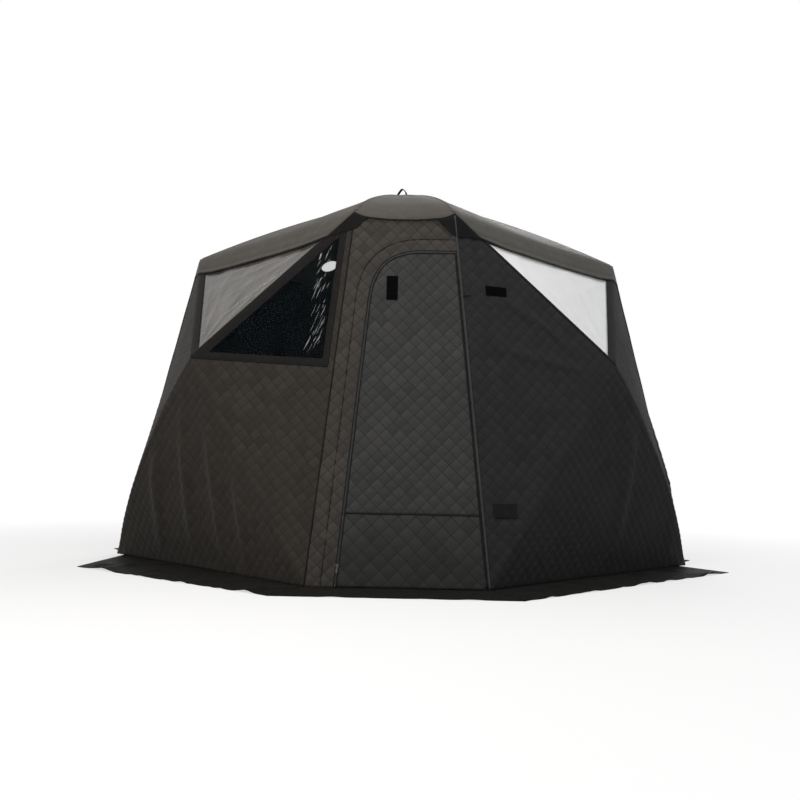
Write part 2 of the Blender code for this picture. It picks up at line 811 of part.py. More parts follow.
def pole_end(sheet, near, following, depth):
    """End of a pole near its corner, under the line from the corner to the next place."""
    inset = POLE_CORNER_INSET / np.linalg.norm(following - near)
    return mix(near, following, inset) - sheet.lift(following) * depth


def wall_pole_path(sheet, wall, corner_place, bow):
    """Axis of a pole from its corner to the hub's centre, under its ridge."""
    hub = HUB_POINTS[wall]
    shares = [step / EDGE_STEPS for step in range(EDGE_STEPS + 1)]
    ridge = [mix(corner_place, hub, share) + 4 * share * (1 - share) * bow for share in shares]
    corner_depth = WALL_THICK + POLE_CLEARANCE + POLE_RADIUS
    path = [pole_end(sheet, ridge[0], ridge[1], corner_depth)]
    for share, place in list(zip(shares, ridge))[1:]:
        path.append(place - sheet.lift(place) * mix(corner_depth, POLE_HUB_DEPTH, share))
    return path


def roof_pole_path(sheet, corner):
    ridge = [roof_ridge(corner, share) for share in ROOF_ROW_SHARES] + [CROWN]
    corner_depth = POLE_RADIUS + POLE_CLEARANCE
    path = [pole_end(sheet, ridge[0], ridge[1], corner_depth)]
    for share, place in list(zip(ROOF_ROW_SHARES + (1.0,), ridge))[1:]:
        path.append(place - sheet.lift(place) * mix(corner_depth, ROOF_HUB_DEPTH, share))
    return path


def add_pole(name, path, floor, material):
    """Pole whose inner end stands in its hub's socket."""
    centre, before = path[-1], path[-2]
    start = centre + unit(before - centre) * (floor + FIT_GAP)
    swept_rod(name, path[:-1] + [start], material)


def add_hub(name, centre, profile, axis, paths, floor, reach, material):
    """Hub with one blind socket for each pole."""
    hub = turned(name, centre, axis, profile, HUB_SIDES, material)
    bore = (POLE_RADIUS + FIT_GAP) / math.cos(math.pi / POLE_SIDES)
    directions = [unit(path[-2] - centre) for path in paths]
    for number, direction in enumerate(directions):
        sleeve = turned(f"{name}_sleeve_{number}", centre, direction,
                        [(bore + SOCKET_WALL, SOCKET_ROOT), (bore + SOCKET_WALL, reach)],
                        POLE_SIDES, material)
        combine(hub, sleeve, "UNION")
    for number, direction in enumerate(directions):
        cutter = turned(f"{name}_bore_{number}", centre, direction,
                        [(bore, floor), (bore, reach + CUT_OVERRUN)], POLE_SIDES, material)
        combine(hub, cutter, "DIFFERENCE")


def hub_profile(lift, radius, depth):
    """Hub with a blunt cone that fits under a peak of fabric, `depth` above the hub's centre."""
    steepness = math.sqrt(lift.dot(lift) - 1)
    peak = np.linalg.norm(lift) * (depth - HUB_CLEARANCE)
    return [(radius, -HUB_BACK), (radius, peak - radius * steepness),
            (HUB_NOSE_RADIUS, peak - HUB_NOSE_RADIUS * steepness)]


def add_wall_frame(sheet, wall, materials):
    first, second = WALLS[wall]
    paths = {}
    for corner in (first, second):
        place = corner.replace("_left", "").replace("_right", "") if "door" in corner else corner
        paths[f"pole_{wall}_eave_{place}"] = wall_pole_path(sheet, wall, EAVES[corner], point(0, 0, 0))
        paths[f"pole_{wall}_foot_{place}"] = wall_pole_path(sheet, wall, FEET[corner],
                                                            foot_bow(wall, corner))
    for name, path in paths.items():
        add_pole(name, path, SOCKET_FLOOR, materials["pole"])
    lift = sheet.lift(HUB_POINTS[wall])
    centre = HUB_POINTS[wall] - lift * POLE_HUB_DEPTH
    profile = hub_profile(lift, HUB_RADIUS, POLE_HUB_DEPTH - WALL_THICK)
    add_hub(f"hub_{wall}", centre, profile, unit(lift), list(paths.values()),
            SOCKET_FLOOR, SOCKET_REACH, materials["hub"])


def add_roof_frame(sheet, materials):
    paths = [roof_pole_path(sheet, corner) for corner in EAVES]
    for corner, path in zip(EAVES, paths):
        add_pole(f"pole_roof_{corner}", path, ROOF_SOCKET_FLOOR, materials["pole"])
    lift = sheet.lift(CROWN)
    centre = CROWN - lift * ROOF_HUB_DEPTH
    profile = hub_profile(lift, ROOF_HUB_RADIUS, ROOF_HUB_DEPTH + ROOF_GAP)
    add_hub("hub_roof", centre, profile, unit(lift), paths, ROOF_SOCKET_FLOOR, ROOF_SOCKET_REACH,
            materials["hub"])


def add_pull_loop(roof, material):
    """Standing webbing loop from the crown down the left pole."""
    crown_edge = roof_ridge("left", ROOF_ROW_SHARES[-1])
    drop = LOOP_BASE * (ROOF_TOP - crown_edge[2]) / -crown_edge[0]
    arch = [(-LOOP_BASE * along, LOOP_HEIGHT * high) for along, high in LOOP_ARCH_SHARES]
    outer = [(0, 0), (0, LOOP_THICK)] + arch + [(-LOOP_BASE, LOOP_THICK - drop), (-LOOP_BASE, -drop)]
    middle = (-LOOP_BASE / 2, LOOP_HEIGHT / 3)
    inner = [inset_toward(place, middle, LOOP_THICK) for place in outer]
    steep = np.linalg.norm(roof.lift(CROWN))
    bottom = ROOF_TOP + (ROOF_GAP + ROOF_THICK) * steep + FIT_GAP
    loops = [[point(x, side * LOOP_WIDTH / 2, bottom + z) for x, z in loop]
             for side, loop in ((-1, outer), (1, outer), (1, inner), (-1, inner))]
    count = len(outer)
    faces = []
    for row in range(len(loops)):
        this, other = row * count, (row + 1) % len(loops) * count
        for step in range(count):
            following = (step + 1) % count
            faces.append((this + following, this + step, other + step, other + following))
    make_object("roof_pull_loop", [place for loop in loops for place in loop], faces, material)


def inset_toward(place, middle, inset):
    reach_x, reach_z = middle[0] - place[0], middle[1] - place[1]
    share = inset * math.sqrt(2) / math.hypot(reach_x, reach_z)
    return place[0] + reach_x * share, place[1] + reach_z * share


# Door

DOOR_FOOT = mix(FEET["door_left"], FEET["door_right"], 0.5)
DOOR_UPWARD = unit(mix(EAVES["door_left"], EAVES["door_right"], 0.5) - DOOR_FOOT)
HINGE_FOOT = FEET["door_right"]
HINGE_AXIS = unit(EAVES["door_right"] - FEET["door_right"])


def door_place(x, height, out=0.0):
    return DOOR_FOOT + point(x, 0, 0) + DOOR_UPWARD * (height / DOOR_UPWARD[2]) + DOOR_NORMAL * out


def seam_x(height):
    return mix(DOOR_FOOT_HALF, DOOR_EAVE_HALF, height / EAVE_HEIGHT)


def run_x(height):
    """The zip's straight run."""
    return mix(DOOR_FOOT_X, ARCH_START_X, height / ARCH_START_HEIGHT)


def arch_line():
    """The zip's arch from the top of the straight run to its level end."""
    lean = (ARCH_START_X - DOOR_FOOT_X) / ARCH_START_HEIGHT
    controls = arrays(((ARCH_START_X, ARCH_START_HEIGHT),
                       (ARCH_START_X + lean * ARCH_RISE, ARCH_START_HEIGHT + ARCH_RISE),
                       (ARCH_END_X - ARCH_RUN, ARCH_HEIGHT), (ARCH_END_X, ARCH_HEIGHT)))
    line = []
    for step in range(ARCH_STEPS + 1):
        share = step / ARCH_STEPS
        weights = ((1 - share) ** 3, 3 * share * (1 - share) ** 2, 3 * share ** 2 * (1 - share), share ** 3)
        line.append(sum(control * weight for control, weight in zip(controls, weights)))
    return line


def zip_line(start_height, end_x):
    """The zip from a height near the ground, over the arch, to `end_x` on its level run."""
    heights = [mix(start_height, ARCH_START_HEIGHT, step / RUN_STEPS) for step in range(RUN_STEPS)]
    run = [np.array((run_x(height), height)) for height in heights]
    return run + arch_line() + [np.array((end_x, ARCH_HEIGHT))]


def beside(line, distance):
    """A line moved sideways, to the left of its direction when positive."""
    moved = []
    directions = [unit(end - start) for start, end in zip(line, line[1:])]
    for step, place in enumerate(line):
        before, after = directions[max(step - 1, 0)], directions[min(step, len(directions) - 1)]
        left = unit(np.array((-before[1] - after[1], before[0] + after[0])))
        moved.append(place + left * distance / left.dot((-after[1], after[0])))
    return moved


def lay_door_wall():
    """Fixed fabric of the door wall, left of the zip and over its arch."""
    end_x = seam_x(ARCH_HEIGHT)
    inner = beside(zip_line(0, end_x), DOOR_GAP / 2)
    inner[-1][0] = seam_x(inner[-1][1])
    first, second = FEET["door_left"], EAVES["door_left"]
    left_seam = split(first, second, SEAM_STEPS)
    right_seam = split(EAVES["door_right"], door_place(*inner[-1]), 2)
    outer = left_seam + eave_places("door")[1:-1] + right_seam
    inner_places = [door_place(x, height) for x, height in inner]
    sheet = Sheet()
    sheet.strip(inner_places, outer)
    hold_seam(sheet, "door", "door_left", left_seam)
    hold_seam(sheet, "door", "door_right", right_seam)
    sheet.keep_in_plane([left_seam[0], inner_places[0]], UP)
    sheet.keep_in_plane(eave_places("door"), UP)
    return sheet


def add_door_panel(material):
    end_x = seam_x(ARCH_HEIGHT) - DOOR_HINGE_GAP
    low = KICK_HEIGHT + FIT_GAP / 2
    line = beside(zip_line(low, end_x), -DOOR_GAP / 2)
    line[0] = np.array((line[0][0], low))
    outline = [(seam_x(low) - DOOR_HINGE_GAP, low)] + [tuple(place) for place in reversed(line)]
    prism("door_panel", [door_place(x, height, -WALL_THICK) for x, height in outline],
          DOOR_NORMAL * WALL_THICK, material, HINGE_FOOT)


def add_kick_panel(material):
    low, high = DOOR_FOOT_GAP, KICK_HEIGHT - FIT_GAP / 2
    outline = [(run_x(low) + DOOR_GAP / 2, low), (seam_x(low) - DOOR_HINGE_GAP, low),
               (seam_x(high) - DOOR_HINGE_GAP, high), (run_x(high) + DOOR_GAP / 2, high)]
    prism("door_kick_panel", [door_place(x, height, -WALL_THICK) for x, height in outline],
          DOOR_NORMAL * WALL_THICK, material, HINGE_FOOT)


def add_zip_tape(name, side, material, origin):
    """Zip tape on one side of the zip line: 1 for the wall's side, -1 for the door's."""
    end_x = seam_x(ARCH_HEIGHT) - DOOR_HINGE_GAP - TAPE_END_INSET
    line = zip_line(DOOR_FOOT_GAP, end_x)
    near, far = beside(line, side * DOOR_GAP / 2), beside(line, side * (DOOR_GAP / 2 + TAPE_WIDTH))
    lower, upper = (near, far) if side > 0 else (far, near)
    sheet = Sheet()
    sheet.strip([door_place(x, height) for x, height in lower],
                [door_place(x, height) for x, height in upper])
    sheet.solid(name, FIT_GAP + TAPE_THICK, FIT_GAP, material, origin)


def add_slider(materials):
    """Zip slider with a bridge, and the pull that swings on it."""
    bottom, top = door_place(DOOR_FOOT_X, 0), door_place(ARCH_START_X, ARCH_START_HEIGHT)
    upward = unit(top - bottom)
    across = np.cross(upward, DOOR_NORMAL)
    centre = door_place(run_x(SLIDER_REST_HEIGHT), SLIDER_REST_HEIGHT, TAPE_THICK + 2 * FIT_GAP)
    half, long = SLIDER_WIDTH / 2, SLIDER_LENGTH / 2
    nose = half * SLIDER_NOSE_SHARE
    outline = [(-nose, -long), (nose, -long), (half, 0), (half, long), (-half, long), (-half, 0)]
    slider = prism("zip_slider", [centre + across * x + upward * y for x, y in outline],
                   DOOR_NORMAL * SLIDER_THICK, materials["metal"], centre)
    reach, window = BRIDGE_LENGTH / 2, SLIDER_THICK + BRIDGE_WINDOW
    root = SLIDER_THICK / 2
    legs = reach - BRIDGE_BAR
    arch = [(-reach, root), (-legs, root), (-legs, window), (legs, window), (legs, root), (reach, root),
            (reach, window + BRIDGE_BAR), (-reach, window + BRIDGE_BAR)]
    bridge = prism("zip_slider_bridge",
                   [centre - across * (BRIDGE_WIDTH / 2) + upward * y + DOOR_NORMAL * out for y, out in arch],
                   across * BRIDGE_WIDTH, materials["metal"], centre)
    combine(slider, bridge, "UNION")
    pivot = centre + DOOR_NORMAL * (SLIDER_THICK + BRIDGE_WINDOW / 2)
    add_zip_pull(pivot, across, upward, materials["metal"])


def add_zip_pull(pivot, across, upward, material):
    top = PULL_BAR / 2
    low = top - PULL_LENGTH
    back = pivot - DOOR_NORMAL * (PULL_THICK / 2)
    half, tip = PULL_WIDTH / 2, PULL_WIDTH / 4
    outline = [(-half, top), (-half, low + tip), (-tip, low), (tip, low), (half, low + tip), (half, top)]
    pull = prism("zip_pull", [back + across * x + upward * y for x, y in outline],
                 DOOR_NORMAL * PULL_THICK, material, pivot)
    hole_half = BRIDGE_WIDTH / 2 + PULL_HOLE_PLAY
    hole = [(-hole_half, -top), (-hole_half, -top - PULL_HOLE_LENGTH), (hole_half, -top - PULL_HOLE_LENGTH),
            (hole_half, -top)]
    start = back - DOOR_NORMAL * CUT_OVERRUN
    cutter = prism("zip_pull_hole", [start + across * x + upward * y for x, y in hole],
                   DOOR_NORMAL * (2 * CUT_OVERRUN + PULL_THICK), material, pivot)
    combine(pull, cutter, "DIFFERENCE")


def add_hook_patches(material):
    corners = [(HOOK_PATCH_LEFT_X, HOOK_PATCH_HIGH), (HOOK_PATCH_LEFT_X, HOOK_PATCH_LOW),
               (HOOK_PATCH_RIGHT_X, HOOK_PATCH_LOW), (HOOK_PATCH_RIGHT_X, HOOK_PATCH_HIGH)]
    prism("hook_patch_door", [door_place(x, height, FIT_GAP) for x, height in corners],
          DOOR_NORMAL * HOOK_PATCH_THICK, material, HINGE_FOOT)
    centre, across, upward, normal = beside_door_frame(WALL_PATCH_HEIGHT, WALL_PATCH_FROM_SEAM)
    prism("hook_patch_wall",
          rectangle(centre + normal * FIT_GAP, across, upward, WALL_PATCH_WIDTH / 2, WALL_PATCH_TALL / 2),
          normal * HOOK_PATCH_THICK, material)


def add_vent_flap(material):
    centre, across, upward, normal = beside_door_frame(VENT_HEIGHT, VENT_FROM_SEAM)
    half_tall = VENT_FLAP_TALL / 2
    pivot = centre + upward * half_tall + normal * (FIT_GAP + VENT_FLAP_THICK)
    prism("vent_flap", rectangle(centre + normal * FIT_GAP, across, upward, VENT_FLAP_WIDTH / 2, half_tall),
          normal * VENT_FLAP_THICK, material, pivot)


# Ground

def flap_corners(wall, widths, tips, roots):
    """Ground outline of a mud flap. Tips and roots are distances past the wall's ends, negative inside."""
    first, second = WALLS[wall]
    start, end = FEET[first], FEET[second]
    along, out = unit(end - start), wall_facing(wall)
    gap = FIT_GAP if wall == "door" else FLAP_ROOT_GAP
    return [start - along * roots[0] + out * gap, start - along * tips[0] + out * widths[0],
            end + along * tips[1] + out * widths[1], end + along * roots[1] + out * gap]


def flap_outlines():
    mitre = DOOR_FLAP_WIDTH * math.tan(math.pi / 8) - FLAP_MITRE_GAP
    root = -FLAP_MITRE_GAP
    end, end_root = -FLAP_SET_BACK, -FLAP_ROOT_SET_BACK
    return {
        "door": flap_corners("door", (DOOR_FLAP_WIDTH, DOOR_FLAP_WIDTH), (mitre, mitre), (root, root)),
        "front_left": flap_corners("front_left", (LEFT_FLAP_WIDTH, DOOR_FLAP_WIDTH),
                                   (-LEFT_FLAP_SET_BACK, mitre), (end_root, root)),
        "front_right": flap_corners("front_right", (DOOR_FLAP_WIDTH, FLAP_WIDTH), (mitre, end),
                                    (root, end_root)),
        "back_left": flap_corners("back_left", (FLAP_WIDTH, FLAP_WIDTH), (end, end), (end_root, end_root)),
        "back_right": flap_corners("back_right", (FLAP_WIDTH, FLAP_WIDTH), (end, end),
                                   (end_root, end_root)),
    }


def eyelet_places():
    """Where each eyelet sits, by name, with the wall its flap belongs to."""
    y = DOOR_FOOT[1] - EYELET_OUT
    places = {"door_left": ("door", point(-EYELET_X, y, 0)), "door_right": ("door", point(EYELET_X, y, 0))}
    outlines = flap_outlines()
    for wall, corner in (("front_left", 1), ("front_right", 2), ("back_left", 2), ("back_right", 1)):
        outline = outlines[wall]
        tip = outline[corner]
        along = unit(outline[3 - corner] - tip)
        inward = -wall_facing(wall)
        places[wall] = (wall, tip + along * EYELET_END_INSET + inward * EYELET_EDGE_INSET)
    return places


def add_mud_flaps(materials):
    flaps = {wall: prism(f"mud_flap_{wall}", outline, UP * FLAP_THICK, materials["flap"])
             for wall, outline in flap_outlines().items()}
    for name, (wall, place) in eyelet_places().items():
        cutter = turned(f"eyelet_hole_{name}", place, UP,
                        [(EYELET_HOLE_RADIUS, -CUT_OVERRUN), (EYELET_HOLE_RADIUS, CUT_OVERRUN)],
                        EYELET_SIDES, materials["flap"])
        combine(flaps[wall], cutter, "DIFFERENCE")
        low = FLAP_THICK + FIT_GAP
        ring_solid(f"eyelet_{name}", place, UP, (EYELET_HOLE_RADIUS, EYELET_RADIUS),
                   (low, low + EYELET_THICK), EYELET_SIDES, materials["metal"])


def make_materials():
    return {
        "wall": make_material("padded_fabric", (0.018, 0.017, 0.017), 0.75),
        "door": make_material("padded_door_fabric", (0.020, 0.019, 0.019), 0.75),
        "roof": make_material("roof_fabric", (0.055, 0.053, 0.050), 0.65),
        "grey_film": make_material("hazy_grey_film", (0.11, 0.10, 0.095), 0.25),
        "dark_film": make_material("dark_clear_film", (0.010, 0.011, 0.012), 0.06),
        "pale_film": make_material("pale_frosted_film", (0.80, 0.80, 0.80), 0.35),
        "pole": make_material("black_glass_fibre", (0.012, 0.012, 0.013), 0.35),
        "hub": make_material("black_nylon", (0.015, 0.015, 0.016), 0.5),
        "webbing": make_material("black_webbing", (0.010, 0.010, 0.011), 0.8),
        "tape": make_material("zip_tape", (0.008, 0.008, 0.009), 0.7),
        "hook": make_material("hook_fastener", (0.006, 0.006, 0.006), 0.9),
        "flap": make_material("ground_sheet_fabric", (0.022, 0.021, 0.020), 0.7),
        "metal": make_material("blackened_metal", (0.05, 0.05, 0.05), 0.35, 0.9),
    }


def main():
    materials = make_materials()
    roof = lay_roof()
    add_roof(roof, materials["roof"])
    add_roof_frame(roof, materials)
    for wall in HUB_WALLS:
        sheet = lay_hub_wall(wall)
        sheet.solid(f"wall_{wall}", 0, -WALL_THICK, materials["wall"])
        add_wall_frame(sheet, wall, materials)
    lay_door_wall().solid("door_wall", 0, -WALL_THICK, materials["wall"])
    add_film("window_film_left_side", *side_window("front_left"), materials["grey_film"])
    add_film("window_film_left_front", *front_window(), materials["dark_film"])
    add_film("window_film_right_side", *side_window("front_right"), materials["pale_film"])
    add_door_panel(materials["door"])
    add_kick_panel(materials["door"])
    add_zip_tape("zip_tape_door", -1, materials["tape"], HINGE_FOOT)
    add_zip_tape("zip_tape_wall", 1, materials["tape"], point(0, 0, 0))
    add_slider(materials)
    add_hook_patches(materials["hook"])
    add_vent_flap(materials["webbing"])
    add_flue_port(materials)
    add_pull_loop(roof, materials["webbing"])
    add_mud_flaps(materials)


clear_scene()
PARENT = make_parent()
main()
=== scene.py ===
"""Looks of a pop-up sauna tent: quilted walls and door, roof fabric, films, zip, bindings and ground flaps."""
import math
import random

import bpy
import numpy as np
from mathutils import Matrix, Vector, noise
from mathutils.geometry import delaunay_2d_cdt


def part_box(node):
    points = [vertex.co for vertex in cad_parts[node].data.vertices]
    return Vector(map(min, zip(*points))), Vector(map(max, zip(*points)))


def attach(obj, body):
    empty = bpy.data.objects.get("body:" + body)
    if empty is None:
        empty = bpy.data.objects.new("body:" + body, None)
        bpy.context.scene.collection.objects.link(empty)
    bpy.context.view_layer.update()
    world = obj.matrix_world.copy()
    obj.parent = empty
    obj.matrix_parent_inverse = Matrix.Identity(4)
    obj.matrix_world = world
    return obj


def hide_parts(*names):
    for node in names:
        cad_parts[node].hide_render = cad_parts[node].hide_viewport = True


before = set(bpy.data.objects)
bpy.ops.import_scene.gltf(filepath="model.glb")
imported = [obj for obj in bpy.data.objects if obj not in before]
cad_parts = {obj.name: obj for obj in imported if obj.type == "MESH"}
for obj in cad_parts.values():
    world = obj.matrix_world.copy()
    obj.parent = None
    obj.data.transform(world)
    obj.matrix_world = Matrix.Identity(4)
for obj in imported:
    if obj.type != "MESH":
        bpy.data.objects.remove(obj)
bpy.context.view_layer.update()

# Plan and heights on the outer face of the walls
FOOT_REACH = -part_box("wall_front_left")[0].x
EAVE_REACH = 1.334
EAVE_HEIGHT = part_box("wall_front_left")[1].z
PLAN_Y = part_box("wall_back_left")[1].y - FOOT_REACH
DOOR_FOOT_HALF = 0.44
DOOR_EAVE_HALF = 0.26
HUB_HEIGHT = 1.146
HUB_PUSH = 0.335
ROOF_TOP = 2.331
ROOF_POLE_BOW = 0.0405
POLE_BOW = 0.07
EAVE_SAG = 0.010
DOOR_EAVE_SAG = 0.022
PANEL_SAG_SHARE = 0.011

UP = np.array((0.0, 0.0, 1.0))
WALLS = {
    "door": ("door_left", "door_right"),
    "front_right": ("door_right", "right"),
    "back_right": ("right", "back"),
    "back_left": ("back", "left"),
    "front_left": ("left", "door_left"),
}


# Materials

THREAD_STRETCH = 9.0          # length of a thread's grain over its width
STITCHES = 13.0               # in a quilted cell
SLOTS = {
    "wall": "padded_fabric", "right_wall": "padded_fabric", "door_wall": "padded_fabric",
    "door": "padded_door_fabric", "roof": "roof_fabric", "tape_cover": "roof_fabric", "piping": "black_webbing",
    "band": "black_webbing", "patch": "black_webbing", "webbing": "black_webbing", "zip": "zip_tape",
    "nylon": "zip_tape", "flap": "ground_sheet_fabric", "hook": "hook_fastener", "grey_film": "hazy_grey_film",
    "dark_film": "dark_clear_film", "pale_film": "pale_frosted_film",
}


class Nodes:
    """Short calls that add nodes to a tree."""

    def __init__(self, tree):
        self.tree = tree

    def add(self, kind, *values, **settings):
        """A node with its first inputs fed with the values."""
        node = self.tree.nodes.new(kind)
        for name, value in settings.items():
            setattr(node, name, value)
        for socket, value in zip(node.inputs, values):
            self.feed(socket, value)
        return node

    def feed(self, socket, value):
        if isinstance(value, bpy.types.NodeSocket):
            self.tree.links.new(value, socket)
        else:
            socket.default_value = value

    def maths(self, operation, *values):
        return self.add("ShaderNodeMath", *values, operation=operation).outputs[0]

    def spread(self, value, low, high, to_low=0.0, to_high=1.0):
        return self.add("ShaderNodeMapRange", value, low, high, to_low, to_high).outputs[0]


class Finish(Nodes):
    """Node material for one kind of surface, in object coordinates."""

    def __init__(self, name, roughness, **sockets):
        self.material = bpy.data.materials.new(name)
        self.material.use_nodes = True
        super().__init__(self.material.node_tree)
        self.shader = self.tree.nodes["Principled BSDF"]
        for socket, value in dict(sockets, Roughness=roughness).items():
            self.shader.inputs[socket.replace("_", " ")].default_value = value
        self.place = self.add("ShaderNodeTexCoord").outputs["Object"]

    def pattern(self):
        """Quilt coordinates, in cells."""
        return self.add("ShaderNodeUVMap", uv_map="pattern").outputs[0]

    def noise(self, size, detail=2.0, stretch=(1, 1, 1)):
        scale = [value / size for value in stretch]
        scaled = self.add("ShaderNodeVectorMath", self.place, scale, operation="MULTIPLY")
        node = self.add("ShaderNodeTexNoise")
        self.feed(node.inputs["Vector"], scaled.outputs[0])
        self.feed(node.inputs["Scale"], 1.0)
        self.feed(node.inputs["Detail"], detail)
        return node.outputs["Fac"]

    def threads(self, size):
        """Grain of a plain weave."""
        thin = 1 / THREAD_STRETCH
        return self.maths("ADD", self.noise(size, 1.0, (1, 1, thin)), self.noise(size, 1.0, (thin, thin, 1)))

    def colours(self, factor, *pair):
        node = self.add("ShaderNodeMix", data_type="RGBA")
        self.feed(node.inputs["Factor"], factor)
        for socket, value in zip((node.inputs[6], node.inputs[7]), pair):
            self.feed(socket, value if isinstance(value, bpy.types.NodeSocket) else (*value, 1))
        return node.outputs[2]

    def finish(self, colour, height, distance, roughness=None):
        bump = self.add("ShaderNodeBump")
        self.feed(bump.inputs["Strength"], 1.0)
        self.feed(bump.inputs["Distance"], distance)
        self.feed(bump.inputs["Height"], height)
        self.feed(self.shader.inputs["Normal"], bump.outputs["Normal"])
        self.feed(self.shader.inputs["Base Color"], colour)
        if roughness is not None:
            self.feed(self.shader.inputs["Roughness"], roughness)
        return self.material


def shade(colour, share):
    return tuple(value * share for value in colour)


def stitch_lines(finish):
    """1 on the quilting thread, 0 elsewhere, and 1 in the pressed valley round it."""
    parts = finish.add("ShaderNodeSeparateXYZ", finish.pattern()).outputs

    def from_half(value):
        return finish.maths("ABSOLUTE", finish.maths("SUBTRACT", finish.maths("FRACT", value), 0.5))

    lines, valleys = [], []
    for across, along in ((parts[0], parts[1]), (parts[1], parts[0])):
        near = from_half(finish.maths("ADD", across, 0.5))
        dash = from_half(finish.maths("MULTIPLY", along, STITCHES))
        thread = finish.spread(near, 0.010, 0.018, 1.0, 0.0)
        lines.append(finish.maths("MULTIPLY", thread, finish.spread(dash, 0.28, 0.36, 1.0, 0.0)))
        valleys.append(finish.spread(near, 0.0, 0.055, 1.0, 0.0))
    return finish.maths("MAXIMUM", *lines), finish.maths("MAXIMUM", *valleys)


def cell_tone(finish):
    """An even random tone for each quilted cell."""
    whole = finish.add("ShaderNodeVectorMath", finish.pattern(), operation="FLOOR")
    chance = finish.add("ShaderNodeTexWhiteNoise")
    finish.feed(chance.inputs["Vector"], whole.outputs[0])
    return finish.spread(chance.outputs["Value"], 0.0, 0.7)


def quilt_fabric(name, colour, worn, lines, low=0.0):
    """Matt woven fabric over padding, with painted shade in the stitched valleys and rubbed paler on the pillows.

    Under the height low it is darker towards the bottom, as painted shade.
    """
    finish = Finish(name, 0.80, Sheen_Weight=0.04, Sheen_Roughness=0.5, Specular_IOR_Level=0.12)
    thread, valley = stitch_lines(finish)
    cloudy = finish.spread(finish.noise(0.35, 3.0), 0.3, 0.7)
    base = finish.colours(cloudy, shade(colour, 0.84), shade(colour, 1.18))
    base = finish.colours(cell_tone(finish), shade(colour, 0.76), base)
    base = finish.colours(finish.spread(finish.noise(0.025, 4.0), 0.55, 0.8, 0.0, 0.35), base, worn)
    # Painted shade: darker towards the ground under the height low.
    if low:
        height = finish.add("ShaderNodeSeparateXYZ", finish.place).outputs[2]
        ragged = finish.maths("ADD", height, finish.maths("MULTIPLY", finish.noise(0.09, 3.0), 0.25))
        base = finish.colours(finish.spread(ragged, low - 0.1, low + 0.25, 0.55, 0.0), base, shade(colour, 0.30))
    # Painted shade: the pressed valleys round the stitch lines are darkened, as strongly as lines asks.
    base = finish.colours(finish.maths("MULTIPLY", valley, lines), base, shade(colour, 0.30))
    grain = finish.threads(0.0011)
    base = finish.colours(finish.spread(grain, 0.7, 1.3, 0.0, 0.25), base, shade(colour, 0.6))
    base = finish.colours(finish.maths("MULTIPLY", thread, 0.9), base, shade(colour, 0.18))
    crumple = finish.maths("MULTIPLY", finish.noise(0.018, 3.0), 0.9)
    height = finish.maths("ADD", finish.maths("MULTIPLY", grain, 0.16), crumple)
    height = finish.maths("SUBTRACT", height, finish.maths("MULTIPLY", valley, 0.5))
    height = finish.maths("ADD", height, finish.maths("MULTIPLY", thread, 0.35))
    return finish.finish(base, height, 0.0011, finish.spread(cloudy, 0, 1, 0.72, 0.84))


def plain_fabric(name, colour, roughness, grain=0.0009, worn=1.35, sheen=0.03, crumple=0.030, depth=0.0008,
                 gloss=0.14):
    """Unpadded fabric or webbing with its weave, faint creases and uneven tone."""
    finish = Finish(name, roughness, Sheen_Weight=sheen, Sheen_Roughness=0.5, Specular_IOR_Level=gloss)
    cloudy = finish.spread(finish.noise(0.30, 3.0), 0.3, 0.7)
    base = finish.colours(cloudy, shade(colour, 0.88), shade(colour, 1.10))
    rubbed = finish.spread(finish.noise(crumple, 5.0), 0.52, 0.75, 0.0, 0.6)
    base = finish.colours(rubbed, base, shade(colour, worn))
    weave = finish.threads(grain)
    base = finish.colours(finish.spread(weave, 0.75, 1.3, 0.0, 0.3), base, shade(colour, 0.55))
    height = finish.maths("ADD", finish.maths("MULTIPLY", weave, 0.22), finish.noise(crumple, 3.0))
    return finish.finish(base, height, depth, finish.spread(rubbed, 0, 1, roughness, roughness - 0.08))


def film(name, colour, roughness, alpha, milky, depth, **sockets):
    """Flexible window film: faint haze and fine creases."""
    finish = Finish(name, roughness, Alpha=alpha, **sockets)
    haze = finish.spread(finish.noise(0.12, 4.0, (1, 1, 0.4)), 0.35, 0.75)
    height = finish.maths("ADD", finish.noise(0.020, 2.0, (1, 1, 0.5)), finish.noise(0.09, 2.0))
    return finish.finish(finish.colours(haze, colour, milky), height, depth,
                         finish.spread(haze, 0, 1, roughness * 0.8, roughness * 1.3))


def hard(name, colour, roughness, metallic=0.0, size=0.004):
    """Moulded nylon, glass fibre or metal with small marks."""
    finish = Finish(name, roughness, Metallic=metallic)
    marks = finish.spread(finish.noise(size, 4.0), 0.35, 0.7)
    base = finish.colours(marks, shade(colour, 0.75), shade(colour, 1.3))
    return finish.finish(base, marks, 0.00012, finish.spread(marks, 0, 1, roughness * 0.85, roughness * 1.2))


def hook_field():
    """Field of small nylon hooks."""
    finish = Finish("hook_field", 0.85, Specular_IOR_Level=0.02)
    cells = finish.add("ShaderNodeTexVoronoi")
    finish.feed(cells.inputs["Scale"], 620.0)
    finish.feed(cells.inputs["Vector"], finish.place)
    gap = cells.outputs["Distance"]
    # Painted shade: darker in the gaps between the hooks.
    base = finish.colours(finish.spread(gap, 0.1, 0.7), (0.0030, 0.0030, 0.0032), (0.0015, 0.0015, 0.0015))
    return finish.finish(base, finish.maths("SUBTRACT", 1.0, gap), 0.0009)


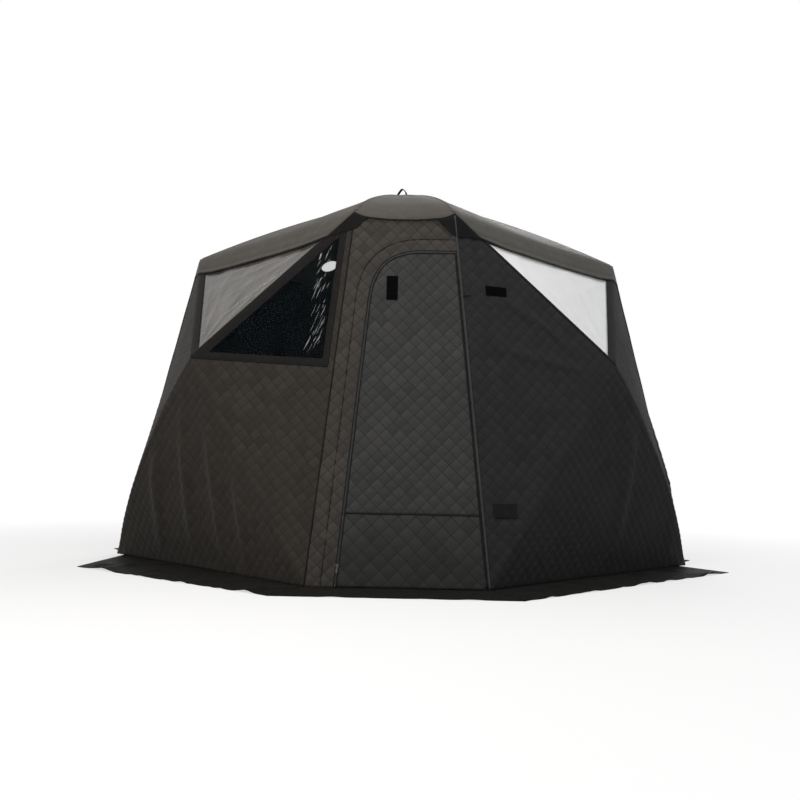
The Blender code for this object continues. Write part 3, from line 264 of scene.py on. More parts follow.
KICK_HEIGHT = 0.349
MATERIALS = {
    "wall": quilt_fabric("quilted_wall", (0.0300, 0.0262, 0.0228), (0.050, 0.044, 0.038), 0.75),
    # Darker, cooler copy of the quilted wall fabric: painted shade for the walls on the right, turned away from the
    # light.
    "right_wall": quilt_fabric("quilted_wall_right", (0.0205, 0.0203, 0.0215), (0.032, 0.032, 0.034), 0.75),
    # Lighter copy of the quilted wall fabric: painted light on the door wall, which faces the light.
    "door_wall": quilt_fabric("quilted_door_wall", (0.0440, 0.0398, 0.0360), (0.064, 0.058, 0.052), 0.70),
    "door": quilt_fabric("quilted_door", (0.0405, 0.0405, 0.0410), (0.058, 0.058, 0.060), 0.72, low=KICK_HEIGHT),
    "roof": plain_fabric("roof_cloth", (0.062, 0.057, 0.049), 0.66, crumple=0.045),
    # Pale underside of the roof: painted light, standing in for daylight through the thin roof cloth.
    "lining": plain_fabric("roof_lining", (0.62, 0.64, 0.54), 0.60, crumple=0.060),
    "tape_cover": plain_fabric("roof_tape", (0.050, 0.046, 0.041), 0.64),
    # Grey on the black hinge piping: a painted highlight along it.
    "piping": plain_fabric("grey_piping", (0.036, 0.037, 0.040), 0.66),
    "band": plain_fabric("black_band", (0.0085, 0.0080, 0.0080), 0.74, worn=1.9, gloss=0.08),
    "patch": plain_fabric("corner_patch", (0.0070, 0.0070, 0.0075), 0.75, 0.0022, worn=1.7, sheen=0.01, gloss=0.05),
    "webbing": plain_fabric("webbing", (0.0050, 0.0048, 0.0048), 0.72, grain=0.0016, crumple=0.008, worn=1.8),
    "zip": plain_fabric("zip_tape_weave", (0.0045, 0.0048, 0.0062), 0.74, grain=0.0012, worn=1.7),
    "flap": plain_fabric("ground_cloth", (0.0062, 0.0058, 0.0054), 0.64, worn=1.8, sheen=0.01, crumple=0.05,
                         depth=0.0014, gloss=0.04),
    "nylon": hard("nylon_coil", (0.009, 0.009, 0.010), 0.40),
    "hub": hard("moulded_hub", (0.015, 0.015, 0.016), 0.48, size=0.010),
    "pole": hard("pole_rod", (0.012, 0.012, 0.013), 0.32, size=0.012),
    "metal": hard("dark_metal", (0.045, 0.045, 0.047), 0.40, 0.95),
    "hook": hook_field(),
    "grey_film": film("grey_film", (0.066, 0.065, 0.053), 0.22, 0.92, (0.125, 0.108, 0.107), 0.0008,
                      Coat_Weight=0.08, Coat_Roughness=0.12, Specular_IOR_Level=0.30),
    # Pale milky creases: painted glints where the film's creases catch the light.
    "crease": film("film_creases", (0.24, 0.26, 0.25), 0.16, 0.9, (0.78, 0.80, 0.78), 0.0002),
    "dark_film": film("dark_film", (0.0030, 0.0058, 0.0075), 0.10, 0.22, (0.008, 0.012, 0.015), 0.0001,
                      Specular_IOR_Level=0.08),
    "pale_film": film("pale_film", (0.88, 0.88, 0.88), 0.40, 1.0, (0.96, 0.96, 0.96), 0.0008),
}
CAD_FINISHES = (("pole_", "pole", 0), ("hub_", "hub", 0.0012), ("eyelet_", "metal", 0.0003),
                ("zip_slider", "metal", 0.0005), ("zip_pull", "metal", 0.0003), ("flue_port_ring", "webbing", 0.0008))


def finish_cad_nodes():
    """Materials, and rounded edges on hard parts, for the nodes that are shown as they are."""
    for node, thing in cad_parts.items():
        for start, kind, bevel in CAD_FINISHES:
            if node.startswith(start):
                for slot in thing.material_slots:
                    slot.material = MATERIALS[kind]
                if bevel:
                    rounded = thing.modifiers.new("rounded", "BEVEL")
                    rounded.width, rounded.segments, rounded.limit_method = bevel, 2, "ANGLE"


# Places

def unit(vectors):
    vectors = np.asarray(vectors, dtype=float)
    return vectors / np.linalg.norm(vectors, axis=-1, keepdims=True)


def mix(first, second, share):
    return first * (1 - share) + second * share


def hump(share):
    return 4 * share * (1 - share)


def corner_points(reach, door_half, height):
    plan = {"door_left": (-door_half, door_half - reach), "door_right": (door_half, door_half - reach),
            "right": (reach, 0), "back": (0, reach), "left": (-reach, 0)}
    return {corner: np.array((x, y + PLAN_Y, height), dtype=float) for corner, (x, y) in plan.items()}


CROWN = np.array((0, PLAN_Y, ROOF_TOP))
FEET = corner_points(FOOT_REACH, DOOR_FOOT_HALF, 0)
EAVES = corner_points(EAVE_REACH, DOOR_EAVE_HALF, EAVE_HEIGHT)


def seam_point(corner, height):
    return mix(FEET[corner], EAVES[corner], height / EAVE_HEIGHT)


def wall_facing(wall):
    first, second = WALLS[wall]
    return unit(np.cross(FEET[second] - FEET[first], UP))


def hub_point(wall):
    first, second = WALLS[wall]
    middle = mix(seam_point(first, HUB_HEIGHT), seam_point(second, HUB_HEIGHT), 0.5)
    return middle + wall_facing(wall) * HUB_PUSH


HUBS = {wall: hub_point(wall) for wall in WALLS if wall != "door"}


def eave_sag(wall):
    first, second = WALLS[wall]
    middle = mix(EAVES[first], EAVES[second], 0.5)
    if wall == "door":
        return unit(mix(FEET[first], FEET[second], 0.5) - middle) * DOOR_EAVE_SAG
    return unit(HUBS[wall] - middle) * EAVE_SAG


def in_frame(frame_at):
    """Function from places in a frame, and their heights over it, to points. A frame is a centre and three ways."""
    centre, across, upward, normal = frame_at
    return lambda flat, out=0.0: (centre + np.outer(flat[:, 0], across) + np.outer(flat[:, 1], upward)
                                  + np.multiply.outer(out, normal))


# Meshes

def vertex_normals(points, triangles):
    corners = points[triangles]
    face = np.cross(corners[:, 1] - corners[:, 0], corners[:, 2] - corners[:, 0])
    normals = np.zeros_like(points)
    for corner in range(3):
        np.add.at(normals, triangles[:, corner], face)
    return normals / np.maximum(np.linalg.norm(normals, axis=1, keepdims=True), 1e-12)


def border_edges(triangles):
    """Directed edges that only one triangle has."""
    edges = np.vstack([triangles[:, [0, 1]], triangles[:, [1, 2]], triangles[:, [2, 0]]]).tolist()
    known = set(map(tuple, edges))
    return [edge for edge in edges if (edge[1], edge[0]) not in known]


def add_piece(name, points, faces, kind, body="tent", replaces=(), pattern=None, smooth=True, slot=None):
    """A piece with the material of its kind of fabric. The slot argument is not used."""
    mesh = bpy.data.meshes.new(name)
    mesh.from_pydata(np.asarray(points, dtype=float).tolist(), [], [list(map(int, face)) for face in faces])
    mesh.materials.append(MATERIALS[kind])
    if pattern is not None:
        corners = np.zeros(len(mesh.loops), dtype=int)
        mesh.loops.foreach_get("vertex_index", corners)
        mesh.uv_layers.new(name="pattern").data.foreach_set("uv", pattern[corners].ravel())
    mesh.validate()
    if smooth:
        mesh.shade_smooth()
    piece = bpy.data.objects.new(name, mesh)
    bpy.context.scene.collection.objects.link(piece)
    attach(piece, body)
    slot or SLOTS[kind]
    if replaces:
        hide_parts(*replaces)
    return piece


def shell(points, triangles, near, far, normals=None):
    """Closed body between two offsets of a sheet, both along its outward normals."""
    if normals is None:
        normals = vertex_normals(points, triangles)
    count = len(points)
    faces = triangles.tolist() + (triangles[:, ::-1] + count).tolist()
    faces += [[end, start, start + count, end + count] for start, end in border_edges(triangles)]
    return np.vstack([points + normals * np.reshape(offset, (-1, 1)) for offset in (near, far)]), faces


def quads(rows, count, around=False, closed=True):
    """Faces between rows of points. `around` joins the last row to the first, `closed` joins each row's ends."""
    return [(row * count + step, row * count + (step + 1) % count,
             (row + 1) % rows * count + (step + 1) % count, (row + 1) % rows * count + step)
            for row in range(rows if around else rows - 1) for step in range(count if closed else count - 1)]


def turned(faces):
    return [tuple(reversed(face)) for face in faces]


def strip(rows, outward, lifts, floor, closed=False):
    """Closed band through rows of points. Each row is lifted by its own height over one common floor."""
    count, wide = len(rows[0]), len(rows)
    ring = [row + outward * lift for row, lift in zip(rows, lifts)] + [row + outward * floor for row in rows[::-1]]
    faces = quads(2 * wide, count, True, closed)
    if not closed:
        for row in range(wide - 1):
            start = np.array((row, row + 1, 2 * wide - 2 - row, 2 * wide - 1 - row)) * count
            faces += [start, start[::-1] + count - 1]
    return np.vstack(ring), faces


def tube(path, radius, sides=8):
    """Round cord along a path, with flat ends. The radius may differ from point to point."""
    path = np.asarray(path, dtype=float)
    radius = np.broadcast_to(radius, (len(path),))
    tangents = unit(np.gradient(path, axis=0))
    side = unit(np.cross(tangents[0], UP if abs(tangents[0][2]) < 0.9 else np.array((1.0, 0, 0))))
    angles = 2 * math.pi * np.arange(sides) / sides
    points = []
    for place, tangent, size in zip(path, tangents, radius):
        side = unit(side - tangent * side.dot(tangent))
        circle = np.outer(np.cos(angles), side) + np.outer(np.sin(angles), np.cross(tangent, side))
        points.append(place + circle * size)
    last = (len(path) - 1) * sides
    return np.vstack(points), [range(sides)[::-1], range(last, last + sides), *quads(len(path), sides)]


def even_path(places, spacing):
    places = np.asarray(places, dtype=float)
    lengths = np.concatenate([[0], np.cumsum(np.linalg.norm(np.diff(places, axis=0), axis=1))])
    wanted = np.linspace(0, lengths[-1], max(2, int(round(lengths[-1] / spacing)) + 1))
    return np.stack([np.interp(wanted, lengths, places[:, axis]) for axis in range(places.shape[1])], axis=1)


def smooth_path(places, spacing, closed=False):
    """Points at an even spacing on a smooth curve through the given places."""
    places = np.asarray(places, dtype=float)
    if closed:
        padded = np.vstack([places[-1:], places, places[:2]])
    else:
        padded = np.vstack([2 * places[0] - places[1], places, 2 * places[-1] - places[-2]])
    fine = []
    for before, start, end, after in zip(padded, padded[1:], padded[2:], padded[3:]):
        for share in np.linspace(0, 1, 10 if closed else 24, endpoint=False):
            fine.append(0.5 * (2 * start + (end - before) * share
                               + (2 * before - 5 * start + 4 * end - after) * share ** 2
                               + (3 * start - before - 3 * end + after) * share ** 3))
    path = even_path(fine + [padded[-2]], spacing)
    return path[:-1] if closed else path


def ripple(points, size, seed):
    """Smooth noise from -1 to 1 at each point, with bumps about `size` wide."""
    shift = Vector((seed * 7.3, seed * 3.1, seed * 5.7))
    return np.array([noise.noise(Vector(place) / size + shift) for place in points.tolist()])


def raised(flat, x=1.0, y=1.0):
    """Flat places as points in space, each direction scaled."""
    return np.column_stack([flat[:, 0] * x, flat[:, 1] * y, flat[:, 0] * 0])


# Quilting

WALL_SKIN = 0.0060            # outer to inner skin of a padded wall
QUILT_CELL = 0.049            # distance between two parallel stitch lines
QUILT_RISE = 0.0014           # top of a pillow over the wall's face
QUILT_DEPTH = 0.0042          # top of a pillow to the stitch line
QUILT_FADE = 0.016            # pillows run out towards an edge over this distance
STITCH_AXES = np.array(((1.0, 1.0), (-1.0, 1.0))) / math.sqrt(2)


def sides_of(loop, closed=True):
    return zip(loop, np.roll(loop, -1, axis=0) if closed else loop[1:])


def cross_2d(one, two):
    return one[..., 0] * two[..., 1] - one[..., 1] * two[..., 0]


def signed_area(loop):
    return 0.5 * float(cross_2d(loop, np.roll(loop, -1, axis=0)).sum())


def inside(points, loop):
    """Which points lie inside a closed loop."""
    x, y = points.T
    result = np.zeros(len(points), dtype=bool)
    for start, end in sides_of(loop):
        rise = end[1] - start[1]
        at = start[0] + (y - start[1]) * (end[0] - start[0]) / (rise if rise else 1)
        result ^= ((start[1] > y) != (end[1] > y)) & (x < at)
    return result


def within(points, loops):
    """Which points lie inside the first loop and outside the others."""
    result = inside(points, loops[0])
    for loop in loops[1:]:
        result &= ~inside(points, loop)
    return result


def distance_to(points, loops, closed=True):
    """Distance from each point to the nearest side of the loops."""
    best = np.full(len(points), np.inf)
    for loop in loops:
        for start, end in sides_of(loop, closed):
            along = end - start
            share = np.clip((points - start) @ along / max(along @ along, 1e-12), 0, 1)
            best = np.minimum(best, np.linalg.norm(points - start - share[:, None] * along, axis=1))
    return best


def side_counts(loop, spacing, least, extra=0.0):
    return [max(least, int(np.linalg.norm(end - start) / spacing + extra)) for start, end in sides_of(loop)]


def split_sides(loop, counts):
    """Closed loop with each side split into its number of steps."""
    return np.array([mix(start, end, step / count) for (start, end), count in zip(sides_of(loop), counts)
                     for step in range(count)])


def triangulate(rims, inner, scale=1.0):
    """Places and counter-clockwise triangles inside the first rim and outside the others."""
    edges, start = [], 0
    for rim in rims:
        edges += [(start + step, start + (step + 1) % len(rim)) for step in range(len(rim))]
        start += len(rim)
    everything = np.vstack([*rims, inner]) * scale
    made = delaunay_2d_cdt([Vector(place) for place in everything.tolist()], edges, [], 0, 1e-7)
    places = np.array([tuple(place) for place in made[0]]) / scale
    faces = np.array([face for face in made[2] if len(face) == 3])
    faces = faces[within(places[faces].mean(1), rims)]
    corners = places[faces]
    wrong = cross_2d(corners[:, 1] - corners[:, 0], corners[:, 2] - corners[:, 0]) < 0
    faces[wrong] = faces[wrong][:, ::-1]
    return places, faces


def lay_grid(loops, spacing):
    """Triangles inside the first loop and outside the others, on a grid along the stitch directions."""
    low, high = loops[0].min(0), loops[0].max(0)
    reach = int(np.linalg.norm(high - low) / spacing) + 2
    start = np.round(STITCH_AXES @ mix(low, high, 0.5) / spacing)
    first, second = np.meshgrid(*(np.arange(-reach, reach + 1) + shift for shift in start))
    grid = np.stack([first.ravel(), second.ravel()], axis=1) * spacing @ STITCH_AXES
    grid = grid[(grid > low).all(1) & (grid < high).all(1)]
    grid = grid[within(grid, loops)]
    grid = grid[distance_to(grid, loops) > spacing * 0.45]
    return triangulate([split_sides(loop, side_counts(loop, spacing, 1, 0.5)) for loop in loops], grid)


def pillow(points, loops, cell, seed):
    """Height of the padding, from 0 on a stitch line to 1, and 0 along the edges."""
    cells = points @ STITCH_AXES.T / cell
    whole = np.floor(cells + 1e-6)
    round_top = np.sqrt(np.clip(np.sin(np.pi * np.clip(cells - whole, 0, 1)), 0, 1)).prod(axis=1)
    uneven = np.sin(whole[:, 0] * 12.9898 + whole[:, 1] * 78.233 + seed) * 43758.5453
    uneven = 0.80 + 0.20 * (uneven - np.floor(uneven))
    return round_top * uneven * np.clip(distance_to(points, loops) / QUILT_FADE, 0, 1)


def quilted(name, loops, place, kind, node, seed, body="tent", parts=5, cell=QUILT_CELL, plain=()):
    """Padded sheet: a skin quilted along its stitch lines and a plain lining, joined at the edges.

    loops are the outline and the holes in pattern coordinates, which place() turns into points in space.
    The padding is pressed flat inside the loops in plain.
    """
    flat, triangles = lay_grid(loops, cell / parts)
    height = pillow(flat, [*loops, *plain], cell, seed)
    for loop in plain:
        height[inside(flat, loop)] = 0
    rise = QUILT_RISE - QUILT_DEPTH * (1 - height)
    rise[np.unique(border_edges(triangles))] = -QUILT_DEPTH / 2
    cells = flat @ STITCH_AXES.T / cell
    piece = add_piece(name, *shell(place(flat), triangles, rise, -WALL_SKIN), kind, body, [node],
                      np.vstack([cells, cells]))


# Walls

BLUR = 0.012                  # the ridges over the poles are rounded over this distance
RING_ANGLES = np.arange(8) * math.pi / 4
FOLD_DEPTH = 1.9              # of the heights in the tables of folds
WALL_WAVE = 0.0022
HEM_OFF_GROUND = 0.0035


class Wall:
    """Outer face of a hub wall. Pattern coordinates are along the foot, from its middle, and height."""

    def __init__(self, wall, folds):
        first, second = WALLS[wall]
        hub, sag, nothing = HUBS[wall], eave_sag(wall), np.zeros(3)
        self.name, self.folds = wall, folds
        self.origin = mix(FEET[first], FEET[second], 0.5)
        self.along = unit(FEET[second] - FEET[first])
        self.facing = wall_facing(wall)
        bows = [nothing if corner.startswith("door") else self.facing * POLE_BOW for corner in (first, second)]
        self.patches = {
            "bottom": ((FEET[first], FEET[second], hub), (nothing, bows[1], bows[0])),
            "second_side": ((FEET[second], EAVES[second], hub), (nothing, nothing, bows[1])),
            "top": ((EAVES[second], EAVES[first], hub), (sag, nothing, nothing)),
            "first_side": ((EAVES[first], FEET[first], hub), (nothing, bows[0], nothing)),
        }
        self.outline = self.flat([FEET[first], FEET[second], EAVES[second], EAVES[first]])

    def flat(self, places):
        places = np.asarray(places, dtype=float)
        return np.stack([(places - self.origin) @ self.along, places[..., 2]], axis=-1)

    def shares(self, part, flat):
        corners = self.flat(self.patches[part][0])
        edges = np.stack([corners[1] - corners[0], corners[2] - corners[0]], axis=1)
        rest = (flat - corners[0]) @ np.linalg.inv(edges).T
        return np.column_stack([1 - rest.sum(1), rest])

    def exact(self, flat):
        """Places on the four bowed triangles, and each place's share of distance from their edges."""
        every = {part: self.shares(part, flat) for part in self.patches}
        lowest = np.stack([shares.min(1) for shares in every.values()])
        chosen = lowest.argmax(0)
        result = np.zeros((len(flat), 3))
        for index, (part, shares) in enumerate(every.items()):
            here = chosen == index
            corners, bows = self.patches[part]
            a, b, c = shares[here].T
            result[here] = (shares[here] @ np.array(corners)
                            + 4 * (np.outer(a * b, bows[0]) + np.outer(b * c, bows[1]) + np.outer(c * a, bows[2])))
        return result, np.clip(lowest.max(0), 0, 1)

    def place(self, flat):
        """Places on the wall with rounded ridges and the fabric's folds."""
        flat = np.asarray(flat, dtype=float)
        radius = np.minimum(BLUR, distance_to(flat, [self.outline]))[:, None]
        result, depth = self.exact(flat)
        total = result * 2
        for share in (0.5, 1.0):
            for angle in RING_ANGLES:
                total += self.exact(flat + np.array((math.cos(angle), math.sin(angle))) * radius * share)[0]
        result = total / (2 + 2 * len(RING_ANGLES))
        calm = np.clip(depth / 0.10, 0, 1) ** 2
        out = ripple(raised(flat, y=0.4), 0.16, 3) * WALL_WAVE
        for start, end, width, height in self.folds:
            out += crease(flat, np.array(start), np.array(end), width) * height * FOLD_DEPTH
        return result + np.outer(out * calm, self.facing)

    def opening(self, corners, borders):
        """Corners in pattern coordinates of a triangle set in from another. Borders lie at sides AB, BC, CA."""
        a, b, c = corners
        area = np.linalg.norm(np.cross(b - a, c - a))
        share_c, share_a, share_b = (border * np.linalg.norm(side) / area
                                     for border, side in zip(borders, (b - a, c - b, a - c)))
        weights = np.array(((1 - share_b - share_c, share_b, share_c), (share_a, 1 - share_a - share_c, share_c),
                            (share_a, share_b, 1 - share_a - share_b)))
        return self.flat(weights @ np.array((a, b, c)))


def crease(flat, start, end, width):
    """Soft fold along a line, highest in its middle and gone at its ends."""
    along = end - start
    length = np.linalg.norm(along)
    run = (flat - start) @ along / length ** 2
    off = cross_2d(along, flat - start) / length / width
    return np.exp(-off ** 2) * np.clip(np.sin(np.pi * np.clip(run, 0, 1)), 0, 1) ** 0.7


# Folds: start, end, width and height
FRONT_LEFT = Wall("front_left", (
    ((0.42, 0.95), (0.50, 0.05), 0.035, 0.012), ((0.22, 0.95), (0.30, 0.05), 0.040, 0.010),
    ((0.02, 0.95), (0.00, 0.05), 0.045, 0.010), ((-0.25, 0.90), (-0.35, 0.05), 0.050, 0.010),
    ((0.80, 1.02), (0.95, 0.05), 0.018, 0.006), ((0.66, 1.00), (0.75, 0.05), 0.025, 0.007)))
FRONT_RIGHT = Wall("front_right", (
    ((0.55, 1.00), (0.70, 0.05), 0.050, 0.010), ((0.10, 0.95), (0.05, 0.05), 0.055, 0.010),
    ((-0.75, 1.50), (-0.20, 1.15), 0.030, 0.006), ((-0.80, 1.20), (-0.25, 1.10), 0.030, 0.005)))
BACK_LEFT = Wall("back_left", (
    ((0.40, 0.95), (0.55, 0.05), 0.050, 0.011), ((-0.05, 0.95), (0.00, 0.05), 0.050, 0.010),
    ((-0.45, 0.95), (-0.60, 0.05), 0.050, 0.010)))
BACK_RIGHT = Wall("back_right", (
    ((0.30, 0.95), (0.45, 0.05), 0.050, 0.010), ((-0.15, 0.95), (-0.10, 0.05), 0.050, 0.011),
    ((-0.55, 0.95), (-0.70, 0.05), 0.050, 0.010)))

SILL_HEIGHT = 1.065
SIDE_BORDERS = (0.155, 0.055, 0.022)       # at the eave, the side pole and the door pole
SIDE_OUTER = (0.067, 0, 0)                 # from the same edges to the outside of the bands
FRONT_BORDERS = (0.070, 0.050, 0.040)      # at the seam, the pole and the sill
FRONT_OUTER = (0.033, 0, 0)


def find_windows():
    """Each window's wall, its opening and the outline of the bands round it, in pattern coordinates."""
    foot, eave, hub = FRONT_LEFT.patches["second_side"][0]
    front = (mix(foot, eave, SILL_HEIGHT / EAVE_HEIGHT), eave, hub)
    mirrored = (SIDE_BORDERS[0], SIDE_BORDERS[2], SIDE_BORDERS[1])
    return {name: (wall, wall.opening(corners, borders), wall.opening(corners, outer))
            for name, wall, corners, borders, outer in (
                ("left_side", FRONT_LEFT, FRONT_LEFT.patches["top"][0], SIDE_BORDERS, SIDE_OUTER),
                ("left_front", FRONT_LEFT, front, FRONT_BORDERS, FRONT_OUTER),
                ("right_side", FRONT_RIGHT, FRONT_RIGHT.patches["top"][0], mirrored, SIDE_OUTER))}


def beside_door(height, from_seam):
    """Frame of a place on the front right wall beside the door."""
    corners = FRONT_RIGHT.patches["first_side"][0]
    normal = unit(np.cross(corners[1] - corners[0], corners[2] - corners[0]))
    across = unit(np.cross(UP, normal))
    return seam_point("door_right", height) + across * from_seam, across, np.cross(normal, across), normal


def rectangle(size, centre=(0, 0)):
    return np.array(((-1, -1), (1, -1), (1, 1), (-1, 1))) * np.asarray(size) / 2 + centre


WINDOWS = find_windows()
VENT_FRAME = beside_door(0.372, 0.125)
VENT_FLAP = rectangle((0.127, 0.070))
VENT_HOLE = rectangle((0.090, 0.036))
WALL_PATCH_FRAME = beside_door(1.494, 0.200)
WALL_PATCH = rectangle((0.120, 0.052))


def add_walls():
    (_, side, side_bands), (_, front, front_bands), (_, right, right_bands) = WINDOWS.values()
    hole, flap, hook = (FRONT_RIGHT.flat(in_frame(place)(outline)) for place, outline in (
        (VENT_FRAME, VENT_HOLE), (VENT_FRAME, VENT_FLAP), (WALL_PATCH_FRAME, WALL_PATCH)))
    jobs = ((FRONT_LEFT, "wall", [side, front], [side_bands, front_bands], 4),
            (FRONT_RIGHT, "right_wall", [right, hole], [right_bands, flap, hook], 4),
            (BACK_LEFT, "wall", [], [], 3), (BACK_RIGHT, "right_wall", [], [], 3))
    for seed, (wall, kind, holes, plain, parts) in enumerate(jobs, 1):
        low, high = wall.outline.min(0), wall.outline.max(0)
        trimmed = np.maximum(mix(wall.outline, mix(low, high, 0.5), 0.0004), (-np.inf, HEM_OFF_GROUND))
        quilted(f"quilt_{wall.name}", [trimmed, *holes], wall.place, kind, f"wall_{wall.name}", seed, parts=parts,
                plain=plain)


# Windows

FILM_DEPTH = 0.0040           # middle of a film under the wall's face
FILM_THICK = 0.0010


def add_window_bands(name, wall, opening, outer):
    """Sewn bands round a window, mitred at the corners, with a stitch line along both edges."""
    counts = side_counts(opening, 0.03, 6)
    shares = (-0.06, 0.0, 0.10, 0.16, 0.22, 0.5, 0.78, 0.84, 0.90, 1.0)
    lifts = (-0.0036, 0.0008, 0.0014, 0.0005, 0.0015, 0.0017, 0.0015, 0.0005, 0.0012, -0.0012)
    rows = [wall.place(split_sides(mix(opening, outer, share), counts)) for share in shares]
    outward = unit(np.cross(rows[-1] - rows[1], np.roll(rows[1], -1, axis=0) - rows[1]))
    outward = outward * np.sign(outward @ wall.facing)[:, None]
    points, faces = strip(rows, outward, lifts, -0.0045, closed=True)
    add_piece(f"window_bands_{name}", points, turned(faces) if signed_area(opening) > 0 else faces, "band")


def triangle_grid(steps):
    """Shares of a triangle's corners on an even grid, and the triangles between them."""
    places = [(i, j) for i in range(steps + 1) for j in range(steps + 1 - i)]
    index = {place: number for number, place in enumerate(places)}
    shares = np.array([((steps - i - j) / steps, i / steps, j / steps) for i, j in places])
    faces = [(index[i, j], index[i + 1, j], index[i, j + 1]) for i, j in places if i + j < steps]
    faces += [(index[i + 1, j], index[i + 1, j + 1], index[i, j + 1]) for i, j in places if i + j < steps - 1]
    return shares, np.array(faces)


def film_wave(shares, flat, wrinkle):
    return wrinkle(shares, flat) * np.clip(shares.min(1) / 0.05, 0, 1)


def add_film(name, steps, wrinkle, kind):
    """Window film with its wrinkles. wrinkle() gives the height at each grid place."""
    wall, opening, _ = WINDOWS[name]
    shares, faces = triangle_grid(steps)
    flat = shares @ opening
    if signed_area(opening) < 0:
        faces = faces[:, ::-1]
    base = wall.place(flat)
    base = base + vertex_normals(base, faces) * film_wave(shares, flat, wrinkle)[:, None]
    points, faces = shell(base, faces, FILM_THICK / 2 - FILM_DEPTH, -FILM_THICK / 2 - FILM_DEPTH)
    add_piece(f"film_{name}", points, faces, kind, replaces=[f"window_film_{name}"])


def fan_of_folds(shares, corner, count, seed):
    """Sharp folds that run out of one corner of a triangle."""
    rest = np.maximum(1 - shares[:, corner], 1e-6)
    angle = shares[:, 0 if corner else 1] / rest
    wave = np.sin(angle * math.pi * count + seed + 1.6 * np.sin(angle * 5 + seed))
    return (1 - np.abs(wave)) ** 2 * np.clip(rest / 0.15, 0, 1) * np.clip(1.15 - rest, 0, 1)


def side_wrinkles(shares, flat):
    slack = ripple(raised(flat), 0.10, 5) * 0.0022 + ripple(raised(flat), 0.035, 6) * 0.0007
    return fan_of_folds(shares, 2, 5, 0.4) * 0.004 + fan_of_folds(shares, 0, 4, 1.9) * 0.003 + slack - 0.001


def front_wrinkles(shares, flat):
    """Crinkles along the seam side, calmer towards the pole."""
    places = raised(flat, 1.6, 0.7)
    near_seam = np.clip(1 - shares[:, 2] / 0.26, 0, 1) ** 1.5
    ridged, fine = (1 - np.abs(ripple(places, size, seed)) * 2 for size, seed in ((0.034, 8), (0.016, 9)))
    return near_seam * (ridged * 0.0034 + fine * 0.0011) + ripple(places, 0.35, 4) * 0.0010 - 0.0012


def add_film_creases(name, wrinkle, streaks, kind):
    """Sharp creases on a film, coloured pale as painted glints. Each streak runs between two places in shares of the
    opening's corners.
    """
    wall, opening, _ = WINDOWS[name]
    points, faces = [], []
    run = np.linspace(0, 1, 12)
    for start, end, width in streaks:
        shares = mix(np.array(start), np.array(end), run[:, None])
        shares[:, 0] += np.sin(run * 5 + start[1] * 40) * 0.006
        shares /= shares.sum(1)[:, None]
        flat = shares @ opening
        path = wall.place(flat) + np.outer(film_wave(shares, flat, wrinkle) - FILM_DEPTH + 0.0006, wall.facing)
        more, ends = tube(path, np.maximum(width * np.sin(np.pi * np.clip(run, 0.04, 0.96)) ** 0.7, 0.0002), 6)
        faces += [[index + len(more) * len(points) for index in face] for face in ends]
        points.append(more)
    add_piece(f"creases_{name}", np.vstack(points), faces, "crease", slot=SLOTS[kind])


def front_streaks():
    """Creases that run down beside the seam. The corners are the foot, the eave and the pole's hub."""
    streaks, chance = [], random.Random(4)
    for _ in range(44):
        near, low, length = chance.uniform(0.030, 0.14), chance.uniform(0.10, 0.92), chance.uniform(0.03, 0.10)
        end = (1 - low - near + length * 0.65, low - length, near + length * 0.35)
        streaks.append(((1 - low - near, low, near), end, chance.uniform(0.0004, 0.0013)))
    return streaks


def side_streaks():
    """Creases along the door pole. The corners are the door's eave, the side's and the hub."""
    streaks, chance = [], random.Random(9)
    for step in range(7):
        off = 0.035 + 0.016 * step
        start = chance.uniform(0.50, 0.74) - 0.03 * step
        length = chance.uniform(0.12, 0.30)
        streaks.append(((start, off, 1 - start - off), (start - length, off * 1.15, 1 - start + length - off * 1.15),
                        chance.uniform(0.0008, 0.0022)))
    return streaks


def add_windows():
    for name, (wall, opening, outer) in WINDOWS.items():
        add_window_bands(name, wall, opening, outer)
    add_film("left_side", 64, side_wrinkles, "grey_film")
    add_film("left_front", 96, front_wrinkles, "dark_film")
    add_film_creases("left_front", front_wrinkles, front_streaks(), "dark_film")
    add_film_creases("left_side", side_wrinkles, side_streaks(), "grey_film")
    add_film("right_side", 48, side_wrinkles, "pale_film")


# Roof

ROOF_GAP = 0.0018
ROOF_THICK = 0.0024
ROOF_OUTSIDE = ROOF_GAP + ROOF_THICK
PANEL_COLUMNS = 30
PANEL_ROWS = 22
CORNER_STEPS = 4
PORT_INSET = 0.190
PORT_RADIUS = 0.060
PORT_RING_WIDTH = 0.022
PORT_PANEL_HALF = 0.110
PORT_PANEL_SIZE = np.array((1.9, 1.4))     # rough width and length of the panel
PORT_REACH = 0.085            # the fabric round the port is flat over this much more
PORT_SIDES = 32
PORT_FINE_T = (0.38, 0.62)    # part of the panel round the port with a finer grid
PORT_FINE_S = (0.02, 0.30)
PORT_CLEAR = 0.009            # from the port's edge to the nearest grid place
SLACK_HEIGHT = 0.004          # of the roof's slow bumps
SLACK_SIZE = 0.30
PULL_HEIGHT = 0.0016          # of the roof's long folds
DOOR_FOLD_HEIGHT = 0.004      # of the folds across the panel over the door
SHOULDER_RISE = 0.020         # of the two front ridges just above the eave
SHOULDER_SHARE = 0.18
TAPE_OVER_POLE = 0.022

